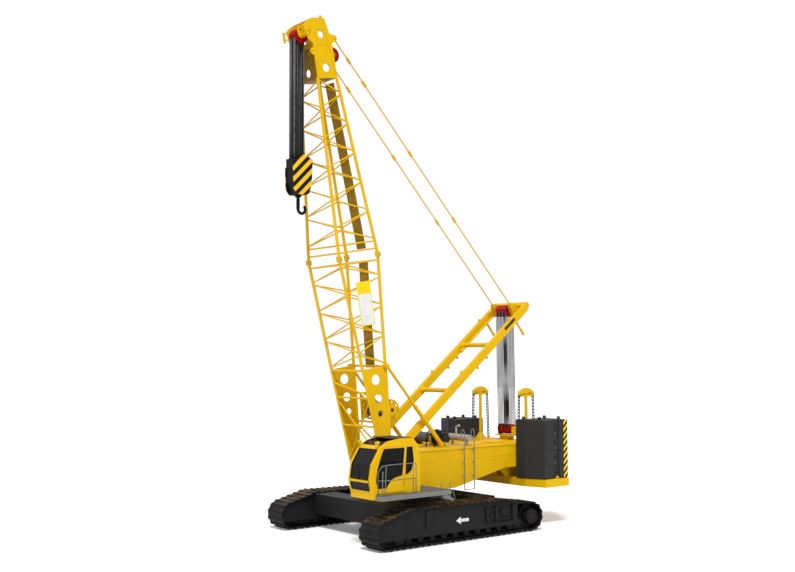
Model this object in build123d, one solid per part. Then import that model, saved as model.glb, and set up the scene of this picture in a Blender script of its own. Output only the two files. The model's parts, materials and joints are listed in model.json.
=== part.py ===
from build123d import *
import math
import os

# Crawler crane with a lattice boom. Millimetres, +Z up, the front faces -Y, the cab is on +X.
# Everything is laid out about the slewing axis (X = 0, Y = 0, ground at Z = 0) and moved in Y
# at the end, so that the origin is the bottom centre of the whole machine.

# Undercarriage
SHOE_WIDTH = 1000.0
GAUGE = 5820.0
WHEEL_BASE_HALF = 3340.0
WHEEL_OUTER_R = 540.0
TOP_RUN_Z = 1360.0
TOP_RUN_REAR_Z = 1310.0
TOP_RUN_FRONT_Y = -2250.0
TOP_RUN_REAR_Y = 1750.0
TOP_BEND_R = 600.0
SHOE_COUNT = 62
SHOE_THICKNESS = 60.0
SHOE_LIP = 26.0
SHOE_GAP = 34.0
CHAIN_DEPTH = 80.0
CHAIN_HALF_WIDTH = 160.0
FRAME_PLATE = 110.0
FRAME_INSET = 90.0
FRAME_CLEAR = 45.0
FRAME_BOTTOM_Z = 330.0
FRAME_REAR_Y = 2650.0
ROLLER_R = 125.0
ROLLER_COUNT = 12
ROLLER_SPAN_HALF = 2870.0
HUB_R = 265.0
HUB_PROUD = 60.0
HUB_BOLTS = 12
SEAM_WIDTH = 16.0
SEAM_DEPTH = 10.0
DRIVE_FRONT_Y = 980.0
DRIVE_REAR_Y = 2400.0
DRIVE_DEPTH = 60.0
BEAM_TOP_Z = 1270.0
BEAM_BOTTOM_Z = 520.0
BEAM_OUTER_Y = 2400.0
BEAM_DEPTH = 900.0
BODY_HALF_WIDTH = 1500.0
RING_R = 980.0
RING_SPLIT_Z = 1440.0
FIT_GAP = 0.3

# Superstructure
DECK_HALF_WIDTH = 1720.0
DECK_TOP_Z = 3050.0
DECK_BOTTOM_Z = 1600.0
DECK_FRONT_Y = -1000.0
DECK_BEND_Y = 1050.0
DECK_REAR_Y = 5600.0
DECK_REAR_BOTTOM_Z = 2170.0
DECK_TAPER_END_Y = 3600.0
DECK_LIP = 45.0
DECK_WINCH_Y = 1250.0
DECK_WINCH_Z = 3330.0
TRAY_TOP_Z = 1750.0
TRAY_BOTTOM_Z = 1450.0
TRAY_FRONT_Y = 4150.0
TRAY_REAR_Y = 5690.0
TRAY_HALF_WIDTH = 3050.0
STACK_INNER_X = 1770.0
STACK_OUTER_X = 3020.0
STACK_FRONT_Y = 4130.0
STACK_REAR_Y = 5670.0
STACK_CHAMFER_X = 800.0
STACK_CHAMFER_Y = 290.0
STACK_TOP_Z = 3980.0
FAR_STACK_TOP_Z = 3810.0
SLAB_COUNT = 4
SLAB_BEVEL = 12.0
RECESS_FRONT_Y = 4900.0
RECESS_REAR_Y = 5200.0
RECESS_DEPTH = 60.0
LUG_HALF_WIDTH = 70.0
LUG_THICKNESS = 50.0
LUG_HEIGHT = 110.0
LUG_EYE_R = 30.0
POST_X = 1330.0
POST_Y = 5130.0
POST_TOP_Z = 4930.0
POST_R = 62.0
HEAD_HALF_LENGTH = 420.0
HEAD_HEIGHT = 230.0
CHAIN_R = 18.0
CHAIN_SPREAD = 440.0
LADDER_FRONT_Y = 1400.0
LADDER_REAR_Y = 1890.0
LADDER_BOTTOM_Z = 1510.0
LADDER_TOP_Z = 3740.0
LADDER_R = 18.0

# Cab and walkway
CAB_INNER_X = 1820.0
CAB_OUTER_X = 3070.0
CAB_WALL = 50.0
CAB_FLOOR_Z = 1830.0
FRAME_SIDE = 70.0
LAMP_R = 62.0
GLASS = 12.0
DOOR_GAP = 6.0
DOOR_THICKNESS = 32.0
WALK_OUTER_X = 3400.0
WALK_THICKNESS = 155.0
WALK_TOP_Z = CAB_FLOOR_Z - FIT_GAP
WALK_FRONT_Y = -3640.0
WALK_REAR_Y = -600.0
RAIL_R = 20.0
RAIL_TOP_Z = 2850.0
RAIL_MID_Z = 2340.0

# Boom, in its own upright frame: N to the rear, H along the boom, origin at the foot pin
FOOT_Y = -1450.0
FOOT_Z = 2100.0
BOOM_LEAN = 9.58
JOINT_H = 8000.0
HEAD_H = 14450.0
TIP_H = HEAD_H + 2150.0
BOOM_HALF_WIDTH = 970.0
HEAD_HALF_WIDTH = 550.0
FOOT_HALF_DEPTH = 166.0
JOINT_HALF_DEPTH = 860.0
HEAD_HALF_DEPTH = 410.0
CHORD_R = 55.0
LACE_R = 25.0
FRAME_TUBE_R = 30.0
BASE_PLATE_BOTTOM_H = 1850.0
BASE_PLATE_TOP_H = 3990.0
BASE_PLATE = 40.0
BAY = 515.0
FOOT_PIN_R = 90.0
HEAD_PLATE = 36.0
SHEAVE_R = 275.0
SHEAVE_PACK = 400.0
HOIST_FALLS = 4
SHEAVE_GROOVE = 45.0
SHEAVE_AXLE_R = 60.0
CHEEK_X = 235.0
CHEEK_PLATE = 20.0
WEB_N = -285.0
SHEAVE_N = -610.0
SHEAVE_H = HEAD_H + 1600.0
GUIDE_N = 740.0
GUIDE_H = HEAD_H + 940.0
GUIDE_R = 285.0
WINCH_N = 760.0
WINCH_H = 2280.0
WINCH_FLANGE_R = 400.0
WINCH_FLANGE = 30.0
WINCH_PIN_R = 70.0
WINCH_DRUM_R = 250.0
WINCH_HALF_LENGTH = 600.0
CATWALK_WIDTH = 350.0
CATWALK_THICKNESS = 30.0

# Mast, in its own frame: S along the legs, T square to them, origin at the foot pin
MAST_Y = -1150.0
MAST_Z = 2890.0
MAST_ANGLE = 39.1
MAST_LENGTH = 8890.0
MAST_LEG_X = 870.0
LEG_DEPTH = 280.0
LEG_WIDTH = 170.0
MAST_PIN_R = 50.0
NOTCH_FLOOR_Z = 2650.0
NOTCH_REAR_Y = -560.0
NOTCH_HALF_WIDTH = 1150.0
MAST_SHEAVE_BACK = 508.0
MAST_SHEAVE_T = 98.0
MAST_TUBE_S = (3535.0, 6290.0)
STUB_BACK = 960.0
STUB_LENGTH = 780.0
STUB_R = 42.0
MAST_SHEAVE_R = 240.0
MAST_SHEAVE_PACK = 600.0
LUFF_SHEAVE_Y = 5360.0
LUFF_SHEAVE_Z = 3470.0
LUFF_SHEAVE_R = 200.0
LUFF_SHEAVE_PACK = 700.0
LUFF_FALLS = 5

# Pendants, from the boom head's rear lugs to the mast head
PENDANT_X = 500.0
PENDANT_TOP_N = 560.0
PENDANT_TOP_H = HEAD_H + 1430.0
PENDANT_END_BACK = 495.0
PENDANT_END_T = 341.0
CONNECTOR_RUNS = (800.0, 1820.0, 5000.0, 8200.0)
CONNECTOR_LENGTH = 250.0
PENDANT_ROD_R = 24.0
PENDANT_PIN_R = 35.0
PENDANT_EYE_R = 75.0
MAST_END_PIN_R = 45.0
CLEVIS_HALF = 60.0
CLEVIS_PLATE = 30.0
CLEVIS_CLEAR = 5.5

# Backstops
STOP_X = 1130.0
STOP_TOP_N = 470.0
STOP_TOP_H = 3960.0
STOP_FOOT_Y = 870.0
STOP_R = 50.0
STOP_SLEEVE_R = 78.0
STOP_EYE_HALF = 60.0

# Hook block and ropes
ROPE_R = 14.0
BLOCK_TOP_Z = 13550.0
BLOCK_HALF_THICKNESS = 280.0
BLOCK_HOUSING_TOP_Z = 13400.0
BLOCK_BOTTOM_Z = 12130.0
HORN_Z = 11640.0
HORN_BEND = 150.0
HORN_R = 52.0

nodes = {}

# A world point of the mast's frame, in Y and Z
MAST_COS = math.cos(math.radians(MAST_ANGLE))
MAST_SIN = math.sin(math.radians(MAST_ANGLE))


def mast_world(s, t):
    return MAST_Y + s * MAST_COS - t * MAST_SIN, MAST_Z + s * MAST_SIN + t * MAST_COS


PENDANT_END_Y, PENDANT_END_Z = mast_world(MAST_LENGTH - PENDANT_END_BACK, PENDANT_END_T)
MAST_SHEAVE_Y, MAST_SHEAVE_Z = mast_world(MAST_LENGTH - MAST_SHEAVE_BACK, MAST_SHEAVE_T)


def rad(degrees):
    return math.radians(degrees)


def block(x0, x1, y0, y1, z0, z1):
    centre = Pos((x0 + x1) / 2, (y0 + y1) / 2, (z0 + z1) / 2)
    return centre * Box(x1 - x0, y1 - y0, z1 - z0)


def rod(start, end, radius):
    """A round bar between two points, with its seam facing away from the Z axis."""
    start = Vector(*start)
    end = Vector(*end)
    axis = end - start
    middle = (start + end) * 0.5
    outward = Vector(middle.X, middle.Y, 0)
    outward = outward - axis * (outward.dot(axis) / axis.dot(axis))
    if outward.length > 1:
        plane = Plane(origin=start, x_dir=outward, z_dir=axis)
    else:
        plane = Plane(origin=start, z_dir=axis)
    return Part() + Solid.make_cylinder(radius, axis.length, plane)


def bar(start, end, depth, width):
    """A straight box bar between two points of one X plane: depth in that plane, width along X."""
    start = Vector(*start)
    end = Vector(*end)
    axis = end - start
    plane = Plane(origin=(start + end) * 0.5, x_dir=(1, 0, 0), z_dir=axis)
    return plane * Box(width, depth, axis.length)


def side_face(points):
    """A flat face in the YZ plane from a closed outline."""
    return Plane.YZ * make_face(Polyline(*points, close=True))


def side_plate(face, x0, x1):
    return Pos(x0, 0, 0) * extrude(face, amount=x1 - x0, dir=(1, 0, 0))


def pin_x(y, z, radius, x0, x1):
    return rod((x0, y, z), (x1, y, z), radius)


def both_sides(shape):
    return [shape, mirror(shape, about=Plane.YZ)]


def fuse(shapes):
    shapes = list(shapes)
    return shapes[0].fuse(*shapes[1:]) if len(shapes) > 1 else shapes[0]


def chamfered_lid(width, length, height):
    """A low cover with bevelled upper edges, centred on its own middle."""
    lid = Box(width, length, height)
    return chamfer(lid.edges().group_by(Axis.Z)[-1], height * 0.4)


def add(name, shapes, place=None):
    if not isinstance(shapes, (list, tuple)):
        shapes = [shapes]
    solids = []
    for shape in shapes:
        moved = place * shape if place else shape
        solids.extend(moved.solids())
    nodes.setdefault(name, []).extend(solids)


# Tracks

def track_hull(shrink):
    """The loop's side outline: the hull of the wheels and the two bends of the top run."""
    front_bend = (TOP_RUN_FRONT_Y, TOP_RUN_Z - TOP_BEND_R)
    rear_bend = (TOP_RUN_REAR_Y, TOP_RUN_REAR_Z - TOP_BEND_R)
    circles = [
        ((-WHEEL_BASE_HALF, WHEEL_OUTER_R), WHEEL_OUTER_R),
        ((WHEEL_BASE_HALF, WHEEL_OUTER_R), WHEEL_OUTER_R),
        (front_bend, TOP_BEND_R),
        (rear_bend, TOP_BEND_R),
    ]
    edges = []
    for (y, z), radius in circles:
        edges.append(Pos(y, z) * Edge.make_circle(radius - shrink))
    return make_hull(edges)


def shoe_outline(hull):
    """The outer edge of the shoes, one raised step for each, with a notch between two."""
    wire = hull.face().outer_wire()
    pitch = wire.length / SHOE_COUNT
    gap = SHOE_GAP / wire.length
    points = []
    for index in range(SHOE_COUNT):
        start = index / SHOE_COUNT
        steps = [
            (start, SHOE_LIP),
            (start + gap * 0.5, 0.0),
            (start + (pitch * 0.5) / wire.length, 0.0),
            (start + pitch / wire.length - gap * 0.5, 0.0),
        ]
        for position, depth in steps:
            here = wire.position_at(position)
            along = wire.tangent_at(position)
            inward = Vector(-along.Y, along.X, 0)
            if inward.dot(Vector(0, TOP_RUN_Z / 2, 0) - here) < 0:
                inward = inward * -1
            points.append(here + inward * depth)
    return make_face(Polyline(*points, close=True))


outer_hull = track_hull(0.0)
shoe_inner = track_hull(SHOE_THICKNESS)
chain_inner = track_hull(SHOE_THICKNESS + CHAIN_DEPTH)
frame_hull = track_hull(SHOE_THICKNESS + FRAME_CLEAR)
track_x = GAUGE / 2
shoe_x0 = track_x - SHOE_WIDTH / 2
shoe_x1 = track_x + SHOE_WIDTH / 2
shoe_loop = side_plate(Plane.YZ * (shoe_outline(outer_hull) - shoe_inner), shoe_x0, shoe_x1)
chain_x0 = track_x - CHAIN_HALF_WIDTH
chain_x1 = track_x + CHAIN_HALF_WIDTH
chain_loop = side_plate(Plane.YZ * (shoe_inner - chain_inner), chain_x0, chain_x1)
track = fuse([shoe_loop, chain_loop])
add("track_left", track)
add("track_right", mirror(track, about=Plane.YZ))

# Track frames: two cheek plates and a box between them
frame_x0 = shoe_x0 + FRAME_INSET
frame_x1 = shoe_x1 - FRAME_INSET
cheek_cut = Pos(0, (FRAME_BOTTOM_Z + TOP_RUN_Z) / 2) * Rectangle(
    2 * WHEEL_BASE_HALF + 4 * WHEEL_OUTER_R, TOP_RUN_Z - FRAME_BOTTOM_Z)
rear_cut = Pos(FRAME_REAR_Y + WHEEL_BASE_HALF, 0) * Rectangle(2 * WHEEL_BASE_HALF, 4 * TOP_RUN_Z)
cheek_face = Plane.YZ * ((frame_hull & cheek_cut) - rear_cut)
inner_cheek = side_plate(cheek_face, frame_x0, frame_x0 + FRAME_PLATE)
outer_cheek = side_plate(cheek_face, frame_x1 - FRAME_PLATE, frame_x1)
wheel_clear_y = WHEEL_BASE_HALF - WHEEL_OUTER_R - 120
box_bottom_z = SHOE_THICKNESS + CHAIN_DEPTH + 2 * ROLLER_R + 30
box_hull = track_hull(SHOE_THICKNESS + CHAIN_DEPTH + FRAME_CLEAR)
box_window = Pos(0, (box_bottom_z + TOP_RUN_Z) / 2) * Rectangle(2 * wheel_clear_y, TOP_RUN_Z - box_bottom_z)
frame_box = side_plate(Plane.YZ * (box_hull & box_window), frame_x0 + FRAME_PLATE, frame_x1 - FRAME_PLATE)
cheek_end = frame_x1 + 1
drive_pocket = block(frame_x1 - DRIVE_DEPTH, cheek_end, DRIVE_FRONT_Y, DRIVE_REAR_Y, 480, 1090)
outer_cheek = outer_cheek - drive_pocket
for y in (-2520, -1340):
    seam = block(frame_x1 - SEAM_DEPTH, cheek_end, y - SEAM_WIDTH / 2, y + SEAM_WIDTH / 2, FRAME_BOTTOM_Z, 1130)
    outer_cheek = outer_cheek - seam
drive_back = frame_x1 - DRIVE_DEPTH
drive_parts = [
    block(drive_back, frame_x1 - 8, 1120, 1240, 520, 1050),
    block(drive_back, frame_x1 - 8, 1560, 1640, 520, 1050),
    block(drive_back, frame_x1 - 20, 1240, 1560, 900, 960),
    block(drive_back, frame_x1 - 20, 1640, 2250, 560, 620),
    pin_x(1980, 830, 150, drive_back, frame_x1),
    pin_x(1400, 700, 90, drive_back, frame_x1 - 12),
]
tension_bracket = side_face([(-1700, 1180), (-1480, 1180), (-1480, 1090), (-1560, 620), (-1640, 560),
                             (-1700, 560)])
drive_parts.append(side_plate(tension_bracket, frame_x1, frame_x1 + 45))
outer_cheek = fuse([outer_cheek] + drive_parts)
track_frame = fuse([inner_cheek, frame_box, outer_cheek])
add("track_frame_left", track_frame)
add("track_frame_right", mirror(track_frame, about=Plane.YZ))

# Idler, sprocket, rollers and final drive
wheel_r = WHEEL_OUTER_R - SHOE_THICKNESS - CHAIN_DEPTH - FIT_GAP
idler = pin_x(-WHEEL_BASE_HALF, WHEEL_OUTER_R, wheel_r, chain_x0, chain_x1)
idler_axle = pin_x(-WHEEL_BASE_HALF, WHEEL_OUTER_R, 90,
                   frame_x0 + FRAME_PLATE + FIT_GAP, frame_x1 - FRAME_PLATE - FIT_GAP)
sprocket = pin_x(WHEEL_BASE_HALF, WHEEL_OUTER_R, wheel_r, chain_x0, chain_x1)
drive = pin_x(WHEEL_BASE_HALF, WHEEL_OUTER_R, HUB_R, frame_x0, shoe_x1 + HUB_PROUD - FRAME_INSET)
hub_face = shoe_x1 + HUB_PROUD - FRAME_INSET
drive = drive - pin_x(WHEEL_BASE_HALF, WHEEL_OUTER_R, HUB_R - 45, hub_face - 14, hub_face + 1)
hub_cover = pin_x(WHEEL_BASE_HALF, WHEEL_OUTER_R, HUB_R * 0.55, hub_face - 15, hub_face)
hub_bolts = []
for index in range(HUB_BOLTS):
    angle = 2 * math.pi * index / HUB_BOLTS
    ring_r = HUB_R * 0.7
    hub_bolts.append(pin_x(WHEEL_BASE_HALF + ring_r * math.cos(angle), WHEEL_OUTER_R + ring_r * math.sin(angle),
                           14, hub_face - 15, hub_face - 4))
wheels = [fuse([idler, idler_axle]), fuse([sprocket, drive, hub_cover] + hub_bolts)]
roller_z = SHOE_THICKNESS + CHAIN_DEPTH + ROLLER_R + FIT_GAP
for index in range(ROLLER_COUNT):
    y = -ROLLER_SPAN_HALF + 2 * ROLLER_SPAN_HALF * index / (ROLLER_COUNT - 1)
    if abs(y) > wheel_clear_y:
        continue
    wheels.append(pin_x(y, roller_z, ROLLER_R, frame_x0 + FRAME_PLATE + 5, frame_x1 - FRAME_PLATE - 5))
add("track_wheels_left", wheels)
add("track_wheels_right", [mirror(wheel, about=Plane.YZ) for wheel in wheels])

# Carbody: centre box, two cross beams stepped down where they pass under the top runs
stub_top_z = TOP_RUN_REAR_Z - SHOE_THICKNESS - CHAIN_DEPTH - 60
beam_inner_y = BEAM_OUTER_Y - BEAM_DEPTH
carbody_pieces = [block(-BODY_HALF_WIDTH, BODY_HALF_WIDTH, -beam_inner_y, beam_inner_y,
                        BEAM_BOTTOM_Z, BEAM_TOP_Z)]
for side in (-1, 1):
    y0, y1 = sorted((side * beam_inner_y, side * BEAM_OUTER_Y))
    beam_end = shoe_x0 - 30
    carbody_pieces.append(block(-beam_end, beam_end, y0, y1, BEAM_BOTTOM_Z, BEAM_TOP_Z))
    carbody_pieces.append(block(-frame_x0, frame_x0, y0 + 40, y1 - 40, BEAM_BOTTOM_Z, stub_top_z))
carbody_pieces.append(Pos(0, 0, (BEAM_TOP_Z + RING_SPLIT_Z) / 2)
                      * Cylinder(RING_R, RING_SPLIT_Z - BEAM_TOP_Z))
add("carbody", fuse(carbody_pieces))

# Deck: two tapered girders joined as one housing, on the slewing ring
deck_outline = [
    (DECK_FRONT_Y, DECK_BOTTOM_Z),
    (DECK_BEND_Y, DECK_BOTTOM_Z),
    (DECK_TAPER_END_Y, DECK_REAR_BOTTOM_Z),
    (DECK_REAR_Y, DECK_REAR_BOTTOM_Z),
    (DECK_REAR_Y, DECK_TOP_Z),
    (DECK_FRONT_Y, DECK_TOP_Z),
]
deck_body = side_plate(side_face(deck_outline), -DECK_HALF_WIDTH, DECK_HALF_WIDTH)
notch = block(-NOTCH_HALF_WIDTH, NOTCH_HALF_WIDTH, DECK_FRONT_Y - 50, NOTCH_REAR_Y, NOTCH_FLOOR_Z,
              DECK_TOP_Z + 50)
lip = block(-DECK_HALF_WIDTH - 20, DECK_HALF_WIDTH + 20, DECK_FRONT_Y, STACK_FRONT_Y - 60,
            DECK_TOP_Z - DECK_LIP, DECK_TOP_Z)
ring = Pos(0, 0, (RING_SPLIT_Z + FIT_GAP + DECK_BOTTOM_Z) / 2) * Cylinder(
    RING_R, DECK_BOTTOM_Z - RING_SPLIT_Z - FIT_GAP)
deck_pieces = [(deck_body + lip) - notch, ring]
foot_lug_gap = 6.0
foot_lug_half = 85.0
foot_lug_plate = 50.0
for side in (-1, 1):
    for edge in (-1, 1):
        inner = side * BOOM_HALF_WIDTH + edge * (foot_lug_half + foot_lug_gap + foot_lug_plate / 2)
        lug = side_face([
            (DECK_FRONT_Y, DECK_BOTTOM_Z), (DECK_FRONT_Y, FOOT_Z + 420),
            (FOOT_Y + 60, FOOT_Z + 190), (FOOT_Y - 190, FOOT_Z + 120),
            (FOOT_Y - 190, FOOT_Z - 120), (FOOT_Y + 60, FOOT_Z - 260)])
        deck_pieces.append(side_plate(lug, inner - foot_lug_plate / 2, inner + foot_lug_plate / 2))
for side in (-1, 1):
    for edge in (-1, 1):
        inner = side * MAST_LEG_X + edge * (LEG_WIDTH / 2 + 6 + 20)
        lug = side_face([
            (DECK_FRONT_Y + 5, NOTCH_FLOOR_Z - 60), (MAST_Y - 75, MAST_Z - 60), (MAST_Y - 75, MAST_Z + 50),
            (MAST_Y - 30, MAST_Z + 90), (MAST_Y + 90, MAST_Z + 90), (NOTCH_REAR_Y - 20, NOTCH_FLOOR_Z - 60)])
        deck_pieces.append(side_plate(lug, inner - 20, inner + 20))
for x in (-730, 330):
    deck_pieces.append(block(x - 30, x + 30, DECK_WINCH_Y - 260, DECK_WINCH_Y + 260, DECK_TOP_Z - 5,
                             DECK_WINCH_Z + 90))
column = block(-1200, 1200, TRAY_FRONT_Y + 150, DECK_REAR_Y - 150, TRAY_TOP_Z, DECK_REAR_BOTTOM_Z)
deck_pieces.append(column)
for x in (-1250, -650, 650, 1250):
    gusset = side_face([(3560, DECK_REAR_BOTTOM_Z + 10), (3640, DECK_REAR_BOTTOM_Z - 60), (4050, TRAY_TOP_Z + 20),
                        (4320, TRAY_TOP_Z), (4320, DECK_REAR_BOTTOM_Z + 10)])
    deck_pieces.append(side_plate(gusset, x - 20, x + 20))
for side in (-1, 1):
    deck_pieces.append(Pos(side * 1000, 2700, DECK_TOP_Z + 30) * chamfered_lid(520, 760, 60))
    deck_pieces.append(Pos(side * 900, 3720, DECK_TOP_Z + 45) * chamfered_lid(640, 620, 90))
    for edge in (-1, 1):
        y = POST_Y + edge * CHAIN_SPREAD
        eye = block(side * POST_X - 15, side * POST_X + 15, y - 45, y + 45, DECK_TOP_Z - 5, DECK_TOP_Z + 70)
        deck_pieces.append(eye)
deck = fuse(deck_pieces)
deck = deck - pin_x(DECK_WINCH_Y, DECK_WINCH_Z, 60.05, -800, 400)
for side in (-1, 1):
    x = side * BOOM_HALF_WIDTH
    reach = foot_lug_half + foot_lug_gap + foot_lug_plate + 5
    deck = deck - pin_x(FOOT_Y, FOOT_Z, FOOT_PIN_R + 0.05, x - reach, x + reach)
    reach = LEG_WIDTH / 2 + 6 + 50
    x = side * MAST_LEG_X
    deck = deck - pin_x(MAST_Y, MAST_Z, MAST_PIN_R + 0.05, x - reach, x + reach)
add("deck", deck)

# Counterweight tray, stacks, posts and chains
tray_outline = [
    (-STACK_OUTER_X + STACK_CHAMFER_X, TRAY_FRONT_Y), (STACK_OUTER_X - STACK_CHAMFER_X, TRAY_FRONT_Y),
    (TRAY_HALF_WIDTH, TRAY_FRONT_Y + STACK_CHAMFER_Y), (TRAY_HALF_WIDTH, TRAY_REAR_Y),
    (-TRAY_HALF_WIDTH, TRAY_REAR_Y), (-TRAY_HALF_WIDTH, TRAY_FRONT_Y + STACK_CHAMFER_Y),
]
tray = Pos(0, 0, TRAY_BOTTOM_Z) * extrude(make_face(Polyline(*tray_outline, close=True)),
                                          amount=TRAY_TOP_Z - TRAY_BOTTOM_Z)
add("counterweight_tray", tray)
slab_outline = [
    (STACK_INNER_X, STACK_FRONT_Y), (STACK_OUTER_X - STACK_CHAMFER_X, STACK_FRONT_Y),
    (STACK_OUTER_X, STACK_FRONT_Y + STACK_CHAMFER_Y), (STACK_OUTER_X, RECESS_FRONT_Y),
    (STACK_OUTER_X - RECESS_DEPTH, RECESS_FRONT_Y), (STACK_OUTER_X - RECESS_DEPTH, RECESS_REAR_Y),
    (STACK_OUTER_X, RECESS_REAR_Y),
    (STACK_OUTER_X, STACK_REAR_Y), (STACK_INNER_X, STACK_REAR_Y),
]
slab_face = make_face(Polyline(*slab_outline, close=True))
lug_plan = [(STACK_INNER_X + 250, 4300), (STACK_INNER_X + 900, 4500),
            (STACK_INNER_X + 250, 5450), (STACK_INNER_X + 1000, 5450)]


def stack(top_z):
    """Slabs on the tray with clips in the side recess and lifting lugs on the top one."""
    slab_height = (top_z - TRAY_TOP_Z) / SLAB_COUNT
    pieces = []
    for index in range(SLAB_COUNT):
        z0 = TRAY_TOP_Z + index * slab_height
        slab = Pos(0, 0, z0) * extrude(slab_face, amount=slab_height)
        pieces.append(chamfer(slab.edges().group_by(Axis.Z)[-1], SLAB_BEVEL))
        clip_z = z0 + slab_height / 2
        pieces.append(block(STACK_OUTER_X - RECESS_DEPTH, STACK_OUTER_X - 15, 5030, 5080,
                            clip_z - 60, clip_z + 60))
    for x, y in lug_plan:
        lug = block(x - LUG_HALF_WIDTH, x + LUG_HALF_WIDTH, y - LUG_THICKNESS / 2, y + LUG_THICKNESS / 2,
                    top_z, top_z + LUG_HEIGHT)
        eye_z = top_z + LUG_HEIGHT - LUG_EYE_R - 20
        pieces.append(lug - rod((x, y - LUG_THICKNESS, eye_z), (x, y + LUG_THICKNESS, eye_z), LUG_EYE_R))
    return pieces


add("counterweights", stack(STACK_TOP_Z))
add("counterweights", [mirror(piece, about=Plane.YZ) for piece in stack(FAR_STACK_TOP_Z)])
post = rod((POST_X, POST_Y, DECK_TOP_Z), (POST_X, POST_Y, POST_TOP_Z), POST_R)
post_foot = Pos(POST_X, POST_Y, DECK_TOP_Z + 100) * Cone(210, 90, 200)
head_face = side_face([
    (POST_Y - HEAD_HALF_LENGTH, POST_TOP_Z - 30), (POST_Y - HEAD_HALF_LENGTH + 40, POST_TOP_Z + 70),
    (POST_Y - 190, POST_TOP_Z + HEAD_HEIGHT - 40), (POST_Y, POST_TOP_Z + HEAD_HEIGHT),
    (POST_Y + 190, POST_TOP_Z + HEAD_HEIGHT - 40),
    (POST_Y + HEAD_HALF_LENGTH - 40, POST_TOP_Z + 70), (POST_Y + HEAD_HALF_LENGTH, POST_TOP_Z - 30),
    (POST_Y + HEAD_HALF_LENGTH - 90, POST_TOP_Z - 30), (POST_Y + 150, POST_TOP_Z + 40),
    (POST_Y - 150, POST_TOP_Z + 40), (POST_Y - HEAD_HALF_LENGTH + 90, POST_TOP_Z - 30)])
head = side_plate(head_face, POST_X - 75, POST_X + 75)
add("counterweight_posts", both_sides(fuse([post, post_foot, head])))
for edge in (-1, 1):
    top = Vector(POST_X, POST_Y + edge * (HEAD_HALF_LENGTH - 45), POST_TOP_Z - 30)
    end = Vector(POST_X, POST_Y + edge * CHAIN_SPREAD, DECK_TOP_Z + 70)
    run = (end - top).normalized()
    tilt = math.sqrt(1 - run.Z * run.Z)
    back = run * ((CHAIN_R * tilt + FIT_GAP) / -run.Z)
    add("counterweight_chains", both_sides(rod(tuple(top + back), tuple(end - back), CHAIN_R)))

# Cab
cab_outline = [
    (-3750, CAB_FLOOR_Z), (-3870, 2280), (-3790, 2830), (-3410, 3420), (-3110, 3580),
    (-2600, 3665), (-2040, 3665), (-1800, 3400), (-1730, 2860), (-1720, CAB_FLOOR_Z),
]
cab_face = Polyline(*cab_outline, close=True)
cab_sketch = make_face(cab_face)
rounded = cab_sketch.vertices().filter_by(lambda v: v.Y > CAB_FLOOR_Z + 100)
cab_sketch = fillet(rounded, 130)
cab_inner = offset(cab_sketch, amount=-CAB_WALL)
ring_face = Plane.YZ * (cab_sketch - cab_inner)
cab_ring = side_plate(ring_face, CAB_INNER_X + CAB_WALL, CAB_OUTER_X - CAB_WALL)
glass_face = Plane.YZ * (offset(cab_sketch, amount=-14) - offset(cab_sketch, amount=-14 - GLASS))
glass_ring = side_plate(glass_face, CAB_INNER_X + CAB_WALL, CAB_OUTER_X - CAB_WALL)
open_x0 = CAB_INNER_X + CAB_WALL + FRAME_SIDE
open_x1 = CAB_OUTER_X - CAB_WALL - FRAME_SIDE
windshield_open = block(open_x0, open_x1, -4000, -3360, 2350, 3330)
lower_open = block(open_x0, open_x1, -4000, -3700, 1990, 2240)
roof_open = block(open_x0, open_x1, -3330, -2150, 3400, 3800)
front_part = block(CAB_INNER_X, CAB_OUTER_X, -4000, -3350, CAB_FLOOR_Z + CAB_WALL, 3800)
floor_part = block(CAB_INNER_X, CAB_OUTER_X, -4000, -1500, CAB_FLOOR_Z, CAB_FLOOR_Z + CAB_WALL)
rear_part = block(CAB_INNER_X, CAB_OUTER_X, -1960, -1500, CAB_FLOOR_Z + CAB_WALL, 3800)
roof_part = block(CAB_INNER_X, CAB_OUTER_X, -3350, -1960, 3000, 3800)
front_frame = (cab_ring & front_part) - windshield_open - lower_open
skirt = block(CAB_INNER_X, CAB_OUTER_X, -3750, WALK_FRONT_Y - 4, 1700, CAB_FLOOR_Z)
roof = (cab_ring & roof_part) - roof_open
floor = cab_ring & floor_part
rear_window = block(open_x0, open_x1, -2000, -1500, 2600, 3250)
rear_wall = (cab_ring & rear_part) - rear_window
add("cab_front_frame", [front_frame, skirt])
add("cab_floor", floor)
add("cab_roof", roof)
add("cab_rear_wall", rear_wall)
add("cab_glass", [(glass_ring & windshield_open), (glass_ring & lower_open), (glass_ring & roof_open),
                  (glass_ring & rear_window)])
lamps = []
for x in (CAB_INNER_X + 150, CAB_OUTER_X - 110):
    lamp = rod((x, -3430, 3560), (x, -3540, 3545), LAMP_R)
    stalk = rod((x, -3445, 3330), (x, -3470, 3530), 22)
    lamps.append(fuse([lamp, stalk]))
cab_skin = cab_ring & block(CAB_INNER_X, CAB_OUTER_X, -4000, -1500, CAB_FLOOR_Z, 3800)
add("cab_lamps", [lamp - cab_skin for lamp in lamps])
wall_face = Plane.YZ * cab_sketch
quarter_window = side_face([(-2300, 3370), (-2080, 3370), (-2020, 2880), (-2130, 2580),
                            (-2280, 2480), (-2420, 2460)])
door_hole = side_face([(-3560, 1960), (-2480, 1960), (-2400, 3300), (-3230, 3300), (-3480, 2960),
                       (-3620, 2560)])
left_wall = side_plate(wall_face, CAB_OUTER_X - CAB_WALL, CAB_OUTER_X)
left_wall = left_wall - side_plate(quarter_window, CAB_OUTER_X - 200, CAB_OUTER_X + 50)
left_wall = left_wall - side_plate(door_hole, CAB_OUTER_X - 200, CAB_OUTER_X + 50)
runner = block(CAB_OUTER_X - CAB_WALL, CAB_OUTER_X + DOOR_GAP - FIT_GAP, -3240, -1900, 3375, 3393)
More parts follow.
